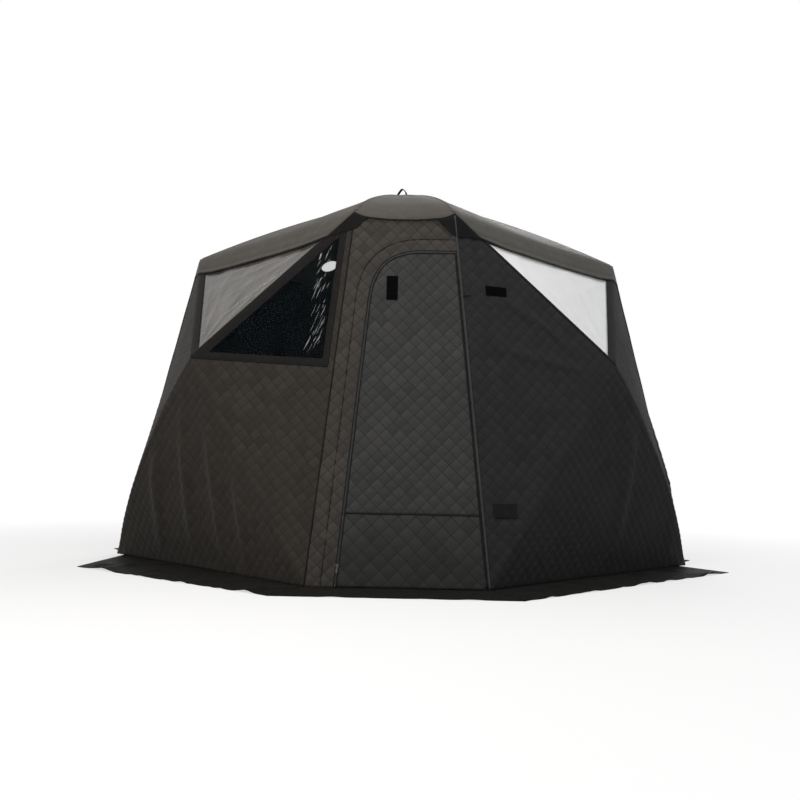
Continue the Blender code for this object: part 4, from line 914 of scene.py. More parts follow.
# Hem of the roof fabric
HEM_SIDE_DROP = 0.124
HEM_MIDDLE_DROP = 0.140
HEM_DOOR_DROPS = {"door_left": 0.098, "door_right": 0.130}
HEM_DOOR_RIDGE_DROP = 0.126
HEM_OVER_DOOR_DROP = 0.023
HEM_STEP_SHARE = 0.2          # of the eave, from a corner to where the hem has its middle drop
HEM_SAG = 0.006
HEM_SHARES = np.array((1.0, 0.93, 0.80, 0.77, 0.74, 0.5, 0.25, 0.0))        # of the drop, from the hem's edge up
HEM_LIFTS = np.array((0.0018, 0.0020, 0.0020, 0.0002, 0.0018, 0.0012, 0.0006, 0.0))
HEM_WAVE = 0.0034
HEM_FOLD = (0.30, 0.035, 0.010)            # on the right hem: place along it, width and height


def roof_ridge(corner, share):
    share = np.asarray(share, dtype=float)[..., None]
    rise = hump(share) * ROOF_POLE_BOW
    if corner.startswith("door"):
        near = share / SHOULDER_SHARE
        rise = rise + SHOULDER_RISE * near * np.exp(1 - near) * np.clip((1 - share) / 0.3, 0, 1)
    return mix(EAVES[corner], CROWN, share) + UP * rise


def find_port():
    """Frame of the flue port in its roof panel."""
    first, second = WALLS["back_left"]
    across = unit(EAVES[second] - EAVES[first])
    length = np.linalg.norm(CROWN - mix(EAVES[first], EAVES[second], 0.5))
    low, high = (mix(roof_ridge(first, share), roof_ridge(second, share), 0.5)
                 for share in ((PORT_INSET - PORT_PANEL_HALF) / length, (PORT_INSET + PORT_PANEL_HALF) / length))
    upward = unit(high - low)
    return mix(low, high, 0.5), across, upward, np.cross(across, upward)


PORT = find_port()


def roof_place(wall, t, s):
    """Place on a roof panel: t across it, s from the eave up to the crown."""
    first, second = WALLS[wall]
    t, s = np.asarray(t, dtype=float), np.asarray(s, dtype=float)
    start, end = roof_ridge(first, s), roof_ridge(second, s)
    result = mix(start, end, t[..., None])
    width = np.linalg.norm(end - start, axis=-1)
    result = result + np.multiply.outer(hump(t) * np.clip(1 - s / 0.25, 0, 1) ** 2, eave_sag(wall))
    result[..., 2] -= hump(t) * PANEL_SAG_SHARE * width * hump(s)
    slack = ripple(result.reshape(-1, 3) * (1, 1, 0.3), SLACK_SIZE, 11).reshape(t.shape) * SLACK_HEIGHT
    taut = np.clip(hump(t) * 2, 0, 1) * np.clip(s / 0.06, 0, 1) * np.clip((1 - s) / 0.08, 0, 1)
    pull = np.sin(t * 9 + s * 4) * PULL_HEIGHT
    if wall == "door":
        pull = pull + np.maximum(0, np.cos((s - 0.10) * 26)) * DOOR_FOLD_HEIGHT
    result[..., 2] += (slack + pull) * taut
    if wall == "back_left":
        centre, normal = PORT[0], PORT[3]
        away = np.linalg.norm(result - centre, axis=-1)
        hold = np.clip((PORT_RADIUS + 2 * PORT_REACH - away) / PORT_REACH, 0, 1)
        hold = hold * hold * (3 - 2 * hold)
        result = result - ((result - centre) @ normal * hold)[..., None] * normal
    return result


def port_circle():
    """The port's edge in panel coordinates."""
    centre, across, upward, _ = PORT
    angles = np.arange(PORT_SIDES) * 2 * math.pi / PORT_SIDES
    wanted = np.column_stack([np.cos(angles), np.sin(angles)]) * (PORT_RADIUS + 0.0003)

    def measure(t, s):
        away = roof_place("back_left", t, s) - centre
        return np.column_stack([away @ across, away @ upward])

    t, s = np.full(PORT_SIDES, 0.5), np.full(PORT_SIDES, 0.15)
    step = 1e-4
    for _ in range(12):
        here = measure(t, s)
        error, by_t, by_s = wanted - here, (measure(t + step, s) - here) / step, (measure(t, s + step) - here) / step
        scale = cross_2d(by_t, by_s)
        t, s = t + cross_2d(error, by_s) / scale, s + cross_2d(by_t, error) / scale
    return np.column_stack([t, s])


class Canopy:
    """The roof fabric as one continuous sheet. Places that coincide are one vertex."""

    def __init__(self):
        self.points, self.known, self.faces, self.groups = [], {}, [], {}

    def vertex(self, place):
        key = tuple(np.round(place, 5))
        if key not in self.known:
            self.known[key] = len(self.points)
            self.points.append(np.asarray(place))
        return self.known[key]

    def face(self, places, group):
        corners = [self.vertex(place) for place in places]
        if len(set(corners)) == 3:
            self.groups.setdefault(group, []).append(len(self.faces))
            self.faces.append(corners)

    def grid(self, rows, group):
        """Rows of places, the lower row first and each row counter-clockwise from above."""
        for low, high in zip(rows, rows[1:]):
            for step in range(len(low) - 1):
                a, b, c, d = low[step], low[step + 1], high[step + 1], high[step]
                for corners in ((a, b, c), (a, c, d)) if step % 2 else ((a, b, d), (b, c, d)):
                    self.face(corners, group)

    def hem(self, rows):
        self.grid(rows[:2], "hem_low")
        self.grid(rows[1:], "hem_high")

    def shell(self, groups, low, high):
        """Closed body over the groups, with the whole sheet's normals."""
        points = np.array(self.points)
        normals = vertex_normals(points, np.array(self.faces))
        faces = np.array([self.faces[index] for group in groups for index in self.groups[group]])
        used, faces = np.unique(faces, return_inverse=True)
        return shell(points[used], faces.reshape(-1, 3), high, low, normals[used])


def over_door(t):
    """Places on the lower edges of the roof over the door and of the corner patches beside it, and their drops."""
    down = unit(FEET["door_left"] + FEET["door_right"] - EAVES["door_left"] - EAVES["door_right"])
    eave = mix(EAVES["door_left"], EAVES["door_right"], t[:, None]) + np.outer(hump(t), eave_sag("door"))
    near = np.clip(np.minimum(t, 1 - t) / 0.15, 0, 1)
    roof_drop = HEM_OVER_DOOR_DROP * (1 - (1 - near) ** 2)
    left, right = (drop / -down[2] for drop in HEM_DOOR_DROPS.values())
    patch_drop = np.maximum(roof_drop, np.interp(t, (0, 0.035, 0.16, 0.78, 1), (left, left * 0.8, 0, 0, right)))
    lines = [eave + np.outer(drop, down) for drop in (roof_drop, patch_drop)]
    for end, (corner, drop) in zip((0, -1), HEM_DOOR_DROPS.items()):
        lines[1][end] = seam_point(corner, EAVE_HEIGHT - drop)
    return lines, roof_drop / patch_drop


def hem_low(wall, t):
    """Places on a side hem's lower edge before it waves."""
    corners, hub = WALLS[wall], HUBS[wall]
    first, second = (EAVES[corner] for corner in corners)
    middle = mix(first, second, 0.5)
    down = (hub - middle) / (middle - hub)[2]
    eave = mix(first, second, t[:, None]) + np.outer(hump(t), eave_sag(wall))
    inner = eave + np.outer(HEM_MIDDLE_DROP + HEM_SAG * hump(t), down)
    ends = []
    for corner in corners:
        drop = HEM_DOOR_RIDGE_DROP if corner.startswith("door") else HEM_SIDE_DROP
        ends.append(mix(EAVES[corner], hub, drop / (EAVE_HEIGHT - hub[2])))
    near = np.clip(1 - t / HEM_STEP_SHARE, 0, 1)[:, None]
    far = np.clip(1 - (1 - t) / HEM_STEP_SHARE, 0, 1)[:, None]
    return inner + (ends[0] - inner[0]) * near + (ends[1] - inner[-1]) * far


def lay_hem(canopy, wall):
    first, second = WALLS[wall]
    t = np.linspace(0, 1, PANEL_COLUMNS + 1)
    top = roof_place(wall, t, t * 0)
    facing = unit(np.cross(EAVES[second] - EAVES[first], UP))
    wave = (np.sin(t * 21 + len(wall)) * 0.5 + np.sin(t * 47 + 2 * len(wall)) * 0.3 + 0.8) * HEM_WAVE
    wave = wave * np.clip(hump(t) * 3, 0, 1)
    if wall == "door":
        lay_door_hem(canopy, t, top, wave, facing)
        return
    if wall == "front_right":
        middle, width, height = HEM_FOLD
        wave = wave + np.exp(-((t - middle) / width) ** 2) * height
    low = hem_low(wall, t)
    calm = np.clip(hump(t) * 8, 0, 1)
    rows = [mix(top, low, share) + np.outer(wave * share ** 1.5 + lift * calm, facing)
            for share, lift in zip(HEM_SHARES, HEM_LIFTS)]
    canopy.hem(rows)
    turns = np.linspace(0, 1, CORNER_STEPS + 1)
    for corner, line in ((first, rows[0][0]), (second, rows[0][-1])):
        seam = seam_point(corner, EAVE_HEIGHT - HEM_DOOR_DROPS.get(corner, HEM_SIDE_DROP))
        ring = [[mix(EAVES[corner], mix(seam, line, turn), share) for turn in turns] for share in HEM_SHARES]
        if corner == second:
            ring = [row[::-1] for row in ring]
        if corner in HEM_DOOR_DROPS:
            canopy.grid(ring, f"patch_{corner}")
        else:
            canopy.hem(ring)


def lay_door_hem(canopy, t, top, wave, facing):
    """Hem over the door, and the corner patches that hang from it."""
    (edge, low), part = over_door(t)
    depths = [part + (1 - part) * share for share in HEM_SHARES]
    rows = [mix(edge, low, share) + np.outer(wave * depth ** 1.5, facing) for share, depth in zip(HEM_SHARES, depths)]
    for lower, upper in zip(rows, rows[1:]):
        for step in range(PANEL_COLUMNS):
            corner = WALLS["door"][step >= PANEL_COLUMNS / 2]
            canopy.grid([lower[step:step + 2], upper[step:step + 2]], f"patch_{corner}")
    rows = [mix(top, edge, share) + np.outer(wave * (part * share) ** 1.5, facing) for share in (1.0, 0.72, 0.36)]
    canopy.hem([*rows, top])


def lay_roof():
    canopy = Canopy()
    t = np.linspace(0, 1, PANEL_COLUMNS + 1)
    heights = np.concatenate([np.linspace(0, 0.96, PANEL_ROWS), [0.985]])
    for wall in WALLS:
        rows = [roof_place(wall, t, np.full_like(t, s)) for s in heights]
        if wall == "back_left":
            lay_port_panel(canopy, wall, t, heights)
        else:
            canopy.grid(rows, "panel")
        for start, end in zip(rows[-1], rows[-1][1:]):
            canopy.face((start, end, CROWN), "panel")
        lay_hem(canopy, wall)
    return canopy


def lay_port_panel(canopy, wall, t, heights):
    """The panel with the flue port: the same grid, with the port's circle let in."""
    circle = port_circle()
    border = [(x, 0) for x in t] + [(1, s) for s in heights[1:]] + [(x, heights[-1]) for x in t[-2::-1]]
    border += [(0, s) for s in heights[-2:0:-1]]
    fine = np.array([(x, s) for s in heights[1:-1] for x in t[1:-1]])
    near = np.array([(x, s) for s in np.linspace(*PORT_FINE_S, 22) for x in np.linspace(*PORT_FINE_T, 23)])
    inner = np.vstack([fine[(np.abs(fine[:, 0] - 0.5) > 0.13) | (fine[:, 1] > 0.31)], near])
    away = distance_to(inner * PORT_PANEL_SIZE, [circle * PORT_PANEL_SIZE])
    inner = inner[(away > PORT_CLEAR) & ~inside(inner, circle)]
    flat, faces = triangulate([np.array(border), circle], inner, PORT_PANEL_SIZE)
    for corners in roof_place(wall, *flat.T)[faces]:
        canopy.face(corners, "panel")


def add_roof():
    canopy = lay_roof()
    points, faces = canopy.shell(canopy.groups, ROOF_GAP, ROOF_OUTSIDE)
    sheet = add_piece("roof_sheet", points, faces, "roof", replaces=["roof_canopy"])
    # The inner side takes the pale lining, whose paleness is painted light.
    sheet.data.materials.append(MATERIALS["lining"])
    for polygon in list(sheet.data.polygons)[len(canopy.faces):2 * len(canopy.faces)]:
        polygon.material_index = 1
    trims, low = [], ROOF_OUTSIDE + 0.0003
    for name, group, thick, kind in (("hem_binding", "hem_low", 0.0011, "band"),
                                     ("corner_patch_left", "patch_door_left", 0.0009, "patch"),
                                     ("corner_patch_right", "patch_door_right", 0.0009, "patch")):
        trims.append(add_piece(name, *canopy.shell([group], low, low + thick), kind))
    trims += [add_ridge_tape(corner) for corner in FEET]


def add_ridge_tape(corner):
    """Tape sewn over the seam of two roof panels, above a pole."""
    shares = np.linspace(0.012, 0.975, 60)
    ridge = roof_ridge(corner, shares)
    tangent = unit(np.gradient(ridge, axis=0))
    sides, outward = [], 0
    for wall, ends in WALLS.items():
        if corner in ends:
            toward = roof_place(wall, np.full_like(shares, 0.02 if ends[0] == corner else 0.98), shares) - ridge
            toward = unit(toward - (toward * tangent).sum(1)[:, None] * tangent)
            sides.append(toward)
            normal = np.cross(tangent, toward)
            outward = outward + normal * np.sign(normal[:, 2])[:, None]
    outward = unit(outward)
    half = TAPE_OVER_POLE / 2
    rows = [ridge + sides[0] * half * share for share in (1.0, 0.84, 0.72, 0.4)]
    rows += [ridge] + [ridge + sides[1] * half * share for share in (0.4, 0.72, 0.84, 1.0)]
    if np.cross(rows[-1][5] - rows[0][5], tangent[5]) @ outward[5] < 0:
        rows = rows[::-1]
    lifts = [ROOF_OUTSIDE + rise for rise in (0.0004, 0.0009, 0.0005, 0.0012, 0.0022, 0.0012, 0.0005, 0.0009, 0.0004)]
    points, faces = strip(rows, outward, lifts, ROOF_OUTSIDE - 0.0006)
    return add_piece(f"ridge_tape_{corner}", points, turned(faces), "tape_cover")


# Door

DOOR_FOOT_X = -0.293
ARCH_START_X = -0.171
ARCH_START_HEIGHT = 1.42
ARCH_END_X = 0.10
ARCH_HEIGHT = 1.684
ARCH_RISE = 0.17
ARCH_RUN = 0.18
ARCH_STEPS = 22
DOOR_GAP = 0.0012
DOOR_HINGE_GAP = 0.0022
DOOR_FOOT_GAP = 0.006
FOOT_MIDDLE = mix(FEET["door_left"], FEET["door_right"], 0.5)
DOOR_UPWARD = unit(mix(EAVES["door_left"], EAVES["door_right"], 0.5) - FOOT_MIDDLE)
DOOR_NORMAL = np.cross((1.0, 0, 0), DOOR_UPWARD)
DOOR_PATCH = rectangle((0.057, 0.127), (-0.0555, 1.4875))
BAND_WIDTH = 0.070            # strip of the door wall that runs round the zip
GROOVE_DEPTH = 0.0045         # of the strip's sewn edge
GROOVE_WIDTH = 0.0055
GROOVE_LIP = 0.0012
FOLD_HEIGHT = 0.0016          # of the drag folds, the pleats and the door's swells
KICK_CELL = 0.060
KICK_PIPING_RADIUS = 0.0026
COIL_PITCH = 0.0052
COIL_RADIUS = 0.00125
COIL_RIB = 0.00030            # how much the radius swells and shrinks from turn to turn
COIL_INSET = 0.0017           # from the zip's line


def door_place(flat, out=0.0):
    """Points over the door's plane. Pattern coordinates are x and height."""
    return in_frame((FOOT_MIDDLE, (1.0, 0, 0), DOOR_UPWARD / DOOR_UPWARD[2], DOOR_NORMAL))(flat, out)


def seam_x(height):
    return mix(DOOR_FOOT_HALF, DOOR_EAVE_HALF, height / EAVE_HEIGHT)


def run_x(height):
    return mix(DOOR_FOOT_X, ARCH_START_X, height / ARCH_START_HEIGHT)


def zip_line(low, end_x):
    """The zip from a height near the ground, over the arch, to end_x on its level run."""
    lean = (ARCH_START_X - DOOR_FOOT_X) / ARCH_START_HEIGHT
    controls = np.array(((ARCH_START_X, ARCH_START_HEIGHT),
                         (ARCH_START_X + lean * ARCH_RISE, ARCH_START_HEIGHT + ARCH_RISE),
                         (ARCH_END_X - ARCH_RUN, ARCH_HEIGHT), (ARCH_END_X, ARCH_HEIGHT)))
    run = [np.array((run_x(height), height)) for height in np.linspace(low, ARCH_START_HEIGHT, 12)[:-1]]
    for share in np.linspace(0, 1, ARCH_STEPS + 1):
        weights = np.array(((1 - share) ** 3, 3 * share * (1 - share) ** 2, 3 * share ** 2 * (1 - share), share ** 3))
        run.append(weights @ controls)
    return np.array(run + [np.array((end_x, ARCH_HEIGHT))])


def beside(line, distance, closed=False):
    """A line moved sideways, to the left of its direction when positive."""
    if closed:
        after = unit(np.roll(line, -1, axis=0) - line)
        before = np.roll(after, 1, axis=0)
    else:
        ways = unit(np.diff(line, axis=0))
        before, after = np.vstack([ways[:1], ways]), np.vstack([ways, ways[-1:]])
    left = unit(np.column_stack([-before[:, 1] - after[:, 1], before[:, 0] + after[:, 0]]))
    return line + left * (distance / -cross_2d(left, after))[:, None]


def puffed(seed):
    """Door plane with slow swells of the padding."""
    return lambda flat: door_place(flat, ripple(raised(flat), 0.22, seed) * FOLD_HEIGHT)


def door_wall_place(flat):
    """Door wall with a sewn groove along the strip round the zip, pleats, and drag folds over the arch."""
    x, height = flat.T
    off = distance_to(flat, [beside(zip_line(0.0, seam_x(ARCH_HEIGHT)), BAND_WIDTH)], closed=False)
    groove = GROOVE_LIP * np.exp(-((off - 0.013) / 0.006) ** 2) - GROOVE_DEPTH * np.exp(-(off / GROOVE_WIDTH) ** 2)
    above = np.clip((height - ARCH_HEIGHT - 0.05) / 0.06, 0, 1) * np.clip((EAVE_HEIGHT - 0.02 - height) / 0.06, 0, 1)
    drag = np.sin((x * 0.75 + height) * 95 + np.sin(x * 16)) * FOLD_HEIGHT * above
    left_of_door = np.clip((-0.255 - x) / 0.03, 0, 1) * np.clip(height / 0.06, 0, 1)
    pleats = np.sin(x * 150 + height * 7 + np.sin(height * 5)) * FOLD_HEIGHT * left_of_door
    return door_place(flat, groove + drag + pleats)


def door_wall_loop():
    line = beside(zip_line(HEM_OFF_GROUND, seam_x(ARCH_HEIGHT)), DOOR_GAP / 2)
    line[0, 1] = HEM_OFF_GROUND
    line[-1, 0] = seam_x(line[-1, 1]) - 0.0006
    t = np.linspace(1, 0, 9)
    eave = np.column_stack([mix(-DOOR_EAVE_HALF, DOOR_EAVE_HALF, t) * 0.998,
                            EAVE_HEIGHT - hump(t) * DOOR_EAVE_SAG - 0.001])
    return np.vstack([[(-DOOR_FOOT_HALF + 0.0010, HEM_OFF_GROUND)], line, eave])


def add_door():
    quilted("quilt_door_wall", [door_wall_loop()], door_wall_place, "door_wall", "door_wall", 5)
    low = KICK_HEIGHT + 0.0004
    line = beside(zip_line(low, seam_x(ARCH_HEIGHT) - DOOR_HINGE_GAP), -DOOR_GAP / 2)
    line[0, 1] = low
    panel = np.vstack([[(seam_x(low) - DOOR_HINGE_GAP, low)], line[::-1]])
    quilted("quilt_door_panel", [panel], puffed(21), "door", "door_panel", 6, "door", plain=[DOOR_PATCH])
    low, high = DOOR_FOOT_GAP, KICK_HEIGHT - 0.0004
    kick = np.array(((run_x(low) + DOOR_GAP / 2, low), (seam_x(low) - DOOR_HINGE_GAP, low),
                     (seam_x(high) - DOOR_HINGE_GAP, high), (run_x(high) + DOOR_GAP / 2, high)))
    quilted("quilt_kick_panel", [kick], puffed(23), "door", "door_kick_panel", 7, "door", cell=KICK_CELL)
    level = np.linspace(run_x(KICK_HEIGHT) + 0.010, seam_x(KICK_HEIGHT) - 0.006, 60)
    path = door_place(np.column_stack([level, KICK_HEIGHT + np.sin(level * 14) * 0.0008]), 0.0003)
    add_piece("kick_seam_piping", *tube(path, KICK_PIPING_RADIUS), "band", "door")


def add_strip_seam():
    """Sewn line along the outer edge of the strip round the zip."""
    seam = even_path(beside(zip_line(0.012, seam_x(ARCH_HEIGHT) - 0.004), BAND_WIDTH), 0.012)
    seam = seam[(seam[:, 0] < seam_x(seam[:, 1]) - 0.006) & (seam[:, 1] > 0.01)]
    add_piece("strip_seam", *tube(door_place(seam, -0.0022), 0.0016, 6), "band")


def add_zip():
    """Two tapes with a coil each. One side stays with the tent and the other moves with the door."""
    line = even_path(zip_line(DOOR_FOOT_GAP, seam_x(ARCH_HEIGHT) - DOOR_HINGE_GAP - 0.006), 0.012)
    for side, body, name in ((1, "tent", "wall"), (-1, "door", "door")):
        insets = (0.0032, 0.0040, 0.0052, 0.0064, 0.0088, 0.0096)
        lifts = (0.0004, 0.0012, 0.0013, 0.0009, 0.0015, 0.0006)
        rows = [door_place(beside(line, side * inset)) for inset in insets]
        points, faces = strip(rows[::side], DOOR_NORMAL, lifts[::side], -0.0016)
        add_piece(f"tape_{name}", points, faces, "zip", body, [f"zip_tape_{name}"])
        fine = even_path(line, COIL_PITCH / 4)
        path = door_place(beside(fine, side * COIL_INSET), 0.0003)
        turn = np.arange(len(fine)) * math.pi / 2
        add_piece(f"zip_coil_{name}", *tube(path, COIL_RADIUS + COIL_RIB * np.cos(turn), 6), "nylon", body)


# Corner seams

PIPING_RADIUS = 0.0034
HINGE_PIPING_RADIUS = 0.0052


def add_corner_seams():
    """Piping along the five corner seams. The one beside the door's hinge is thicker and grey, a painted highlight on
    black piping.
    """
    heights = np.linspace(0.006, EAVE_HEIGHT - 0.012, 90)
    for corner in FEET:
        hinge = corner == "door_right"
        outward = unit((FEET[corner] - CROWN) * (1, 1, 0))
        path = np.array([seam_point(corner, height) for height in heights])
        path += np.outer(np.sin(heights * 19 + len(corner)) * 0.0006 + 0.0008, outward)
        add_piece(f"seam_piping_{corner}", *tube(path, HINGE_PIPING_RADIUS if hinge else PIPING_RADIUS),
                  "piping" if hinge else "band")


def add_hinge_tape():
    """Black tape that covers the fold on which the door swings."""
    heights = np.linspace(0.012, ARCH_HEIGHT - 0.004, 80)
    insets, lifts = (0.0200, 0.0188, 0.0176, 0.0130, 0.0092), (0.0006, 0.0013, 0.0009, 0.0014, 0.0008)
    rows = [door_place(np.column_stack([seam_x(heights) - inset, heights])) for inset in insets]
    points, faces = strip(rows, DOOR_NORMAL, lifts, -0.0030)
    add_piece("hinge_tape", points, turned(faces), "band", "door")


def add_tie():
    """Small knotted tie on the seam beside the door."""
    place = in_frame(beside_door(1.452, 0.004))
    turns = np.linspace(0, 7.5, 14)
    cord = np.array(((0.000, 0.000, 0.004), (0.006, 0.001, 0.007), (0.014, -0.002, 0.008), (0.024, 0.003, 0.006),
                     (0.034, 0.005, 0.003), (0.044, 0.002, 0.0026)))
    knot = np.column_stack([0.010 + 0.0035 * np.cos(turns), 0.005 * np.sin(turns),
                            0.0075 + 0.0015 * np.cos(2 * turns)])
    for name, spots, spacing, radius in (("tie_cord", cord, 0.002, 0.0022), ("tie_knot", knot, 0.0015, 0.0019)):
        add_piece(name, *tube(smooth_path(place(spots, spots[:, 2]), spacing), radius), "webbing")


# Small sewn pieces

PATCH_ROWS = ((0, 0.0016), (0.0006, 0.0022), (0.0028, 0.0022), (0.0034, 0.0016), (0.0040, 0.0023))
VENT_ROWS = ((0, 0.0016), (0.0008, 0.0028), (0.0060, 0.0030), (0.0068, 0.0022), (0.0076, 0.0030), (0.0200, 0.0032))
COVER_ROWS = ((0, 0.0015), (0.0008, 0.0028), (0.0090, 0.0030), (0.0100, 0.0022), (0.0110, 0.0030), (0.0300, 0.0030))
COVER_HALF = 0.100
COVER_LENGTH = 0.200
COVER_CHAMFER = 0.025
COVER_ROOT = PORT_RADIUS + PORT_RING_WIDTH + 0.0004
COVER_LOW = 0.0048            # over the roof's face line


def pad_piece(name, corners, place, rows, kind, node, body="tent", under=0.0003):
    """Flat sewn piece. Each row is how far it lies inside the outline and its height; the last one is filled in."""
    counts = side_counts(corners, 0.006, 2)
    loops = [split_sides(beside(corners, inset, closed=True), counts) for inset, _ in rows]
    points = [place(loops[0], under)] + [place(flat, lift) for flat, (_, lift) in zip(loops, rows)]
    count, last = len(loops[0]), len(rows) * len(loops[0])
    faces = [range(count)[::-1], *quads(len(points), count), range(last, last + count)]
    add_piece(name, np.vstack(points), faces, kind, body, [node], smooth=False)


def add_pads():
    pad_piece("hook_patch_on_door", DOOR_PATCH, door_place, PATCH_ROWS, "hook", "hook_patch_door", "door")
    pad_piece("hook_patch_on_wall", WALL_PATCH, in_frame(WALL_PATCH_FRAME), PATCH_ROWS, "hook", "hook_patch_wall")
    pad_piece("vent_cover", VENT_FLAP, in_frame(VENT_FRAME), VENT_ROWS, "band", "vent_flap", "vent_flap")
    half, length, cut = COVER_HALF, COVER_LENGTH, COVER_CHAMFER
    outline = np.array(((-half, 0), (half, 0), (half, length - cut), (half - cut, length), (cut - half, length),
                        (-half, length - cut))) + (0, COVER_ROOT)
    centre, *ways = PORT
    pad_piece("flue_flap", outline, in_frame((centre + ways[2] * COVER_LOW, *ways)), COVER_ROWS, "roof", "flue_cover",
              "flue_cover", 0.0)


# Pull loop on the roof

LOOP_HEIGHT = 0.052           # of the standing loop, over its foot
LOOP_HALF_WIDTH = 0.011
LOOP_TURN = math.radians(-24)
LOOP_STANDING = ((-0.004, 0.0012), (-0.0014, 0.020), (-0.0080, 0.0330), (-0.0205, 0.0475), (-0.0278, 0.0508),
                 (-0.0362, 0.0488), (-0.0540, 0.0288), (-0.0700, 0.0020))


def add_pull_loop():
    """Standing loop of webbing, sewn together at its feet."""
    box_low, box_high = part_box("roof_pull_loop")
    base = box_high.z - LOOP_HEIGHT
    drop = base - box_low.z
    feet = [(-0.0704, 0.0014 - drop), (-0.060, 0.0012 - drop * 0.83), (-0.036, 0.0012 - drop * 0.5),
            (-0.012, 0.0012 - drop * 0.16)]
    path = smooth_path([*LOOP_STANDING, *feet], 0.0022, closed=True)
    ways = unit(np.roll(path, -1, axis=0) - np.roll(path, 1, axis=0))
    outward = np.column_stack([ways[:, 1], ways[:, 0] * 0, -ways[:, 0]])
    outward *= np.sign((outward[:, ::2] * (path - path.mean(0))).sum())
    rows = [np.column_stack([path[:, 0], np.full(len(path), PLAN_Y + side * LOOP_HALF_WIDTH), path[:, 1] + base])
            for side in (-1, -0.86, -0.72, 0, 0.72, 0.86, 1)]
    lifts = (0.0012, 0.0022, 0.0017, 0.0021, 0.0017, 0.0022, 0.0012)
    points, faces = strip(rows, outward, lifts, -0.0022, closed=True)
    hold = np.array((path[:, 0].mean(), PLAN_Y, 0))
    points = (points - hold) @ np.array(Matrix.Rotation(LOOP_TURN, 3, "Z")).T + hold
    add_piece("loop_webbing", points, turned(faces), "webbing", replaces=["roof_pull_loop"])


# Ground flaps

EYELET_RADIUS = 0.0062
FLAP_LOW = 0.0003
FLAP_THICK = 0.0022
FLAP_WAVE = 0.011
FLAP_UNDER_WALL = 0.030       # how far a flap runs in under its wall
FLAP_WIDTH = 0.297            # at the front
FLAP_SIDE_WIDTH = 0.346
FLAP_SPREAD = 0.490           # front left flap's far end
FLAP_SPREAD_BACK = 0.530
FLAP_END_BACK = 0.146         # how far a side flap's corner lies back from its wall's end
FLAP_ROOT_BACK = 0.060
FLAP_MITRE = FLAP_WIDTH * math.tan(math.pi / 8) - 0.0004
FLAP_MITRE_ROOT = -0.0128
FLAP_HEM = 0.018
FLAP_GRID = 0.024
FLAP_END_CALM = 0.12          # the waves grow over this distance from a flap's ends and its root
EYELET_FLAT = 0.016           # and the flap is flat this far round an eyelet's middle
EYELET_CALM = 0.06


def flap_outline(wall, ends):
    """Outline of a flap. Each end is its width, and how far its tip and root run out past the wall's end."""
    first, second = WALLS[wall]
    along, out = unit(FEET[second] - FEET[first]), wall_facing(wall)
    places = []
    for corner, way, (width, tip, root) in ((first, -along, ends[0]), (second, along, ends[1])):
        places += [FEET[corner] + way * root - out * FLAP_UNDER_WALL, FEET[corner] + way * tip + out * width]
    return np.array([places[0], places[1], places[3], places[2]])[:, :2]


def add_ground_flaps():
    mitred = (FLAP_WIDTH, FLAP_MITRE, FLAP_MITRE_ROOT)
    plain = (FLAP_SIDE_WIDTH, -FLAP_END_BACK, -FLAP_ROOT_BACK)
    spread = (FLAP_SPREAD, -FLAP_SPREAD_BACK, -FLAP_ROOT_BACK)
    jobs = (("door", mitred, mitred), ("front_left", spread, mitred), ("front_right", mitred, plain),
            ("back_left", plain, plain), ("back_right", plain, plain))
    angles = np.arange(16) * math.pi / 8
    for seed, (wall, *ends) in enumerate(jobs):
        outline = flap_outline(wall, ends)
        eyelets = [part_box(f"eyelet_{name}") for name in (WALLS["door"] if wall == "door" else (wall,))]
        centres = [np.array(mix(low, high, 0.5))[:2] for low, high in eyelets]
        holes = [centre + np.column_stack([np.cos(angles), np.sin(angles)]) * EYELET_RADIUS for centre in centres]
        flat, triangles = lay_grid([outline, *holes], FLAP_GRID)
        base = raised(flat)
        calm = np.clip(distance_to(flat, [outline[[0, 3]], outline[:2], outline[2:]]) / FLAP_END_CALM, 0, 1)
        near = np.array([np.linalg.norm(flat - centre, axis=1) for centre in centres]).min(0)
        calm = calm * np.clip((near - EYELET_FLAT) / EYELET_CALM, 0, 1)
        broad, fine = (np.maximum(0, ripple(base, size, first + seed)) for size, first in ((0.11, 31), (0.045, 41)))
        wave = broad * 1.7 + fine * 0.35
        edge = distance_to(flat, [outline])
        fold = 0.0008 * (edge < FLAP_HEM) - 0.0007 * np.exp(-((edge - FLAP_HEM) / 0.004) ** 2)
        low = FLAP_LOW + wave * FLAP_WAVE * (0.35 if wall == "door" else 1.0) * calm
        high = low + FLAP_THICK + fold * (near >= 0.02)
        piece = add_piece(f"ground_flap_{wall}", *shell(base, triangles, high, low, UP), "flap",
                          replaces=[f"mud_flap_{wall}"])
        abs(signed_area(outline))


# Stage

CAMERA_PLACE = (0.0522, -5.5457, 0.5515)
CAMERA_TURN = [math.radians(angle) for angle in (-0.7602, 4.8405, 1.1144)]     # yaw, pitch, roll
CAMERA_LENS = 38.204
FLOOR_REACH = 30.0
FLOOR_SIDES = 64
LAMPS = (  # name, place, target, size, energy, colour
    ("key", (-1.5, -4.8, 2.4), (0, -1.5, 1.1), 1.5, 118, (1.0, 0.96, 0.90)),
    ("top", (0.3, -2.6, 5.6), (0, -0.6, 2.0), 2.4, 95, (1, 1, 1)),
    ("fill", (5.2, -3.2, 2.6), (0, 0, 1.0), 3.0, 28, (0.80, 0.89, 1.0)),
    ("back", (1.5, 5.5, 4.5), (0, 0, 1.2), 3.5, 190, (1, 1, 1)))


def link(name, data, matrix=None):
    thing = bpy.data.objects.new(name, data)
    if matrix:
        thing.matrix_world = matrix
    bpy.context.scene.collection.objects.link(thing)
    return thing


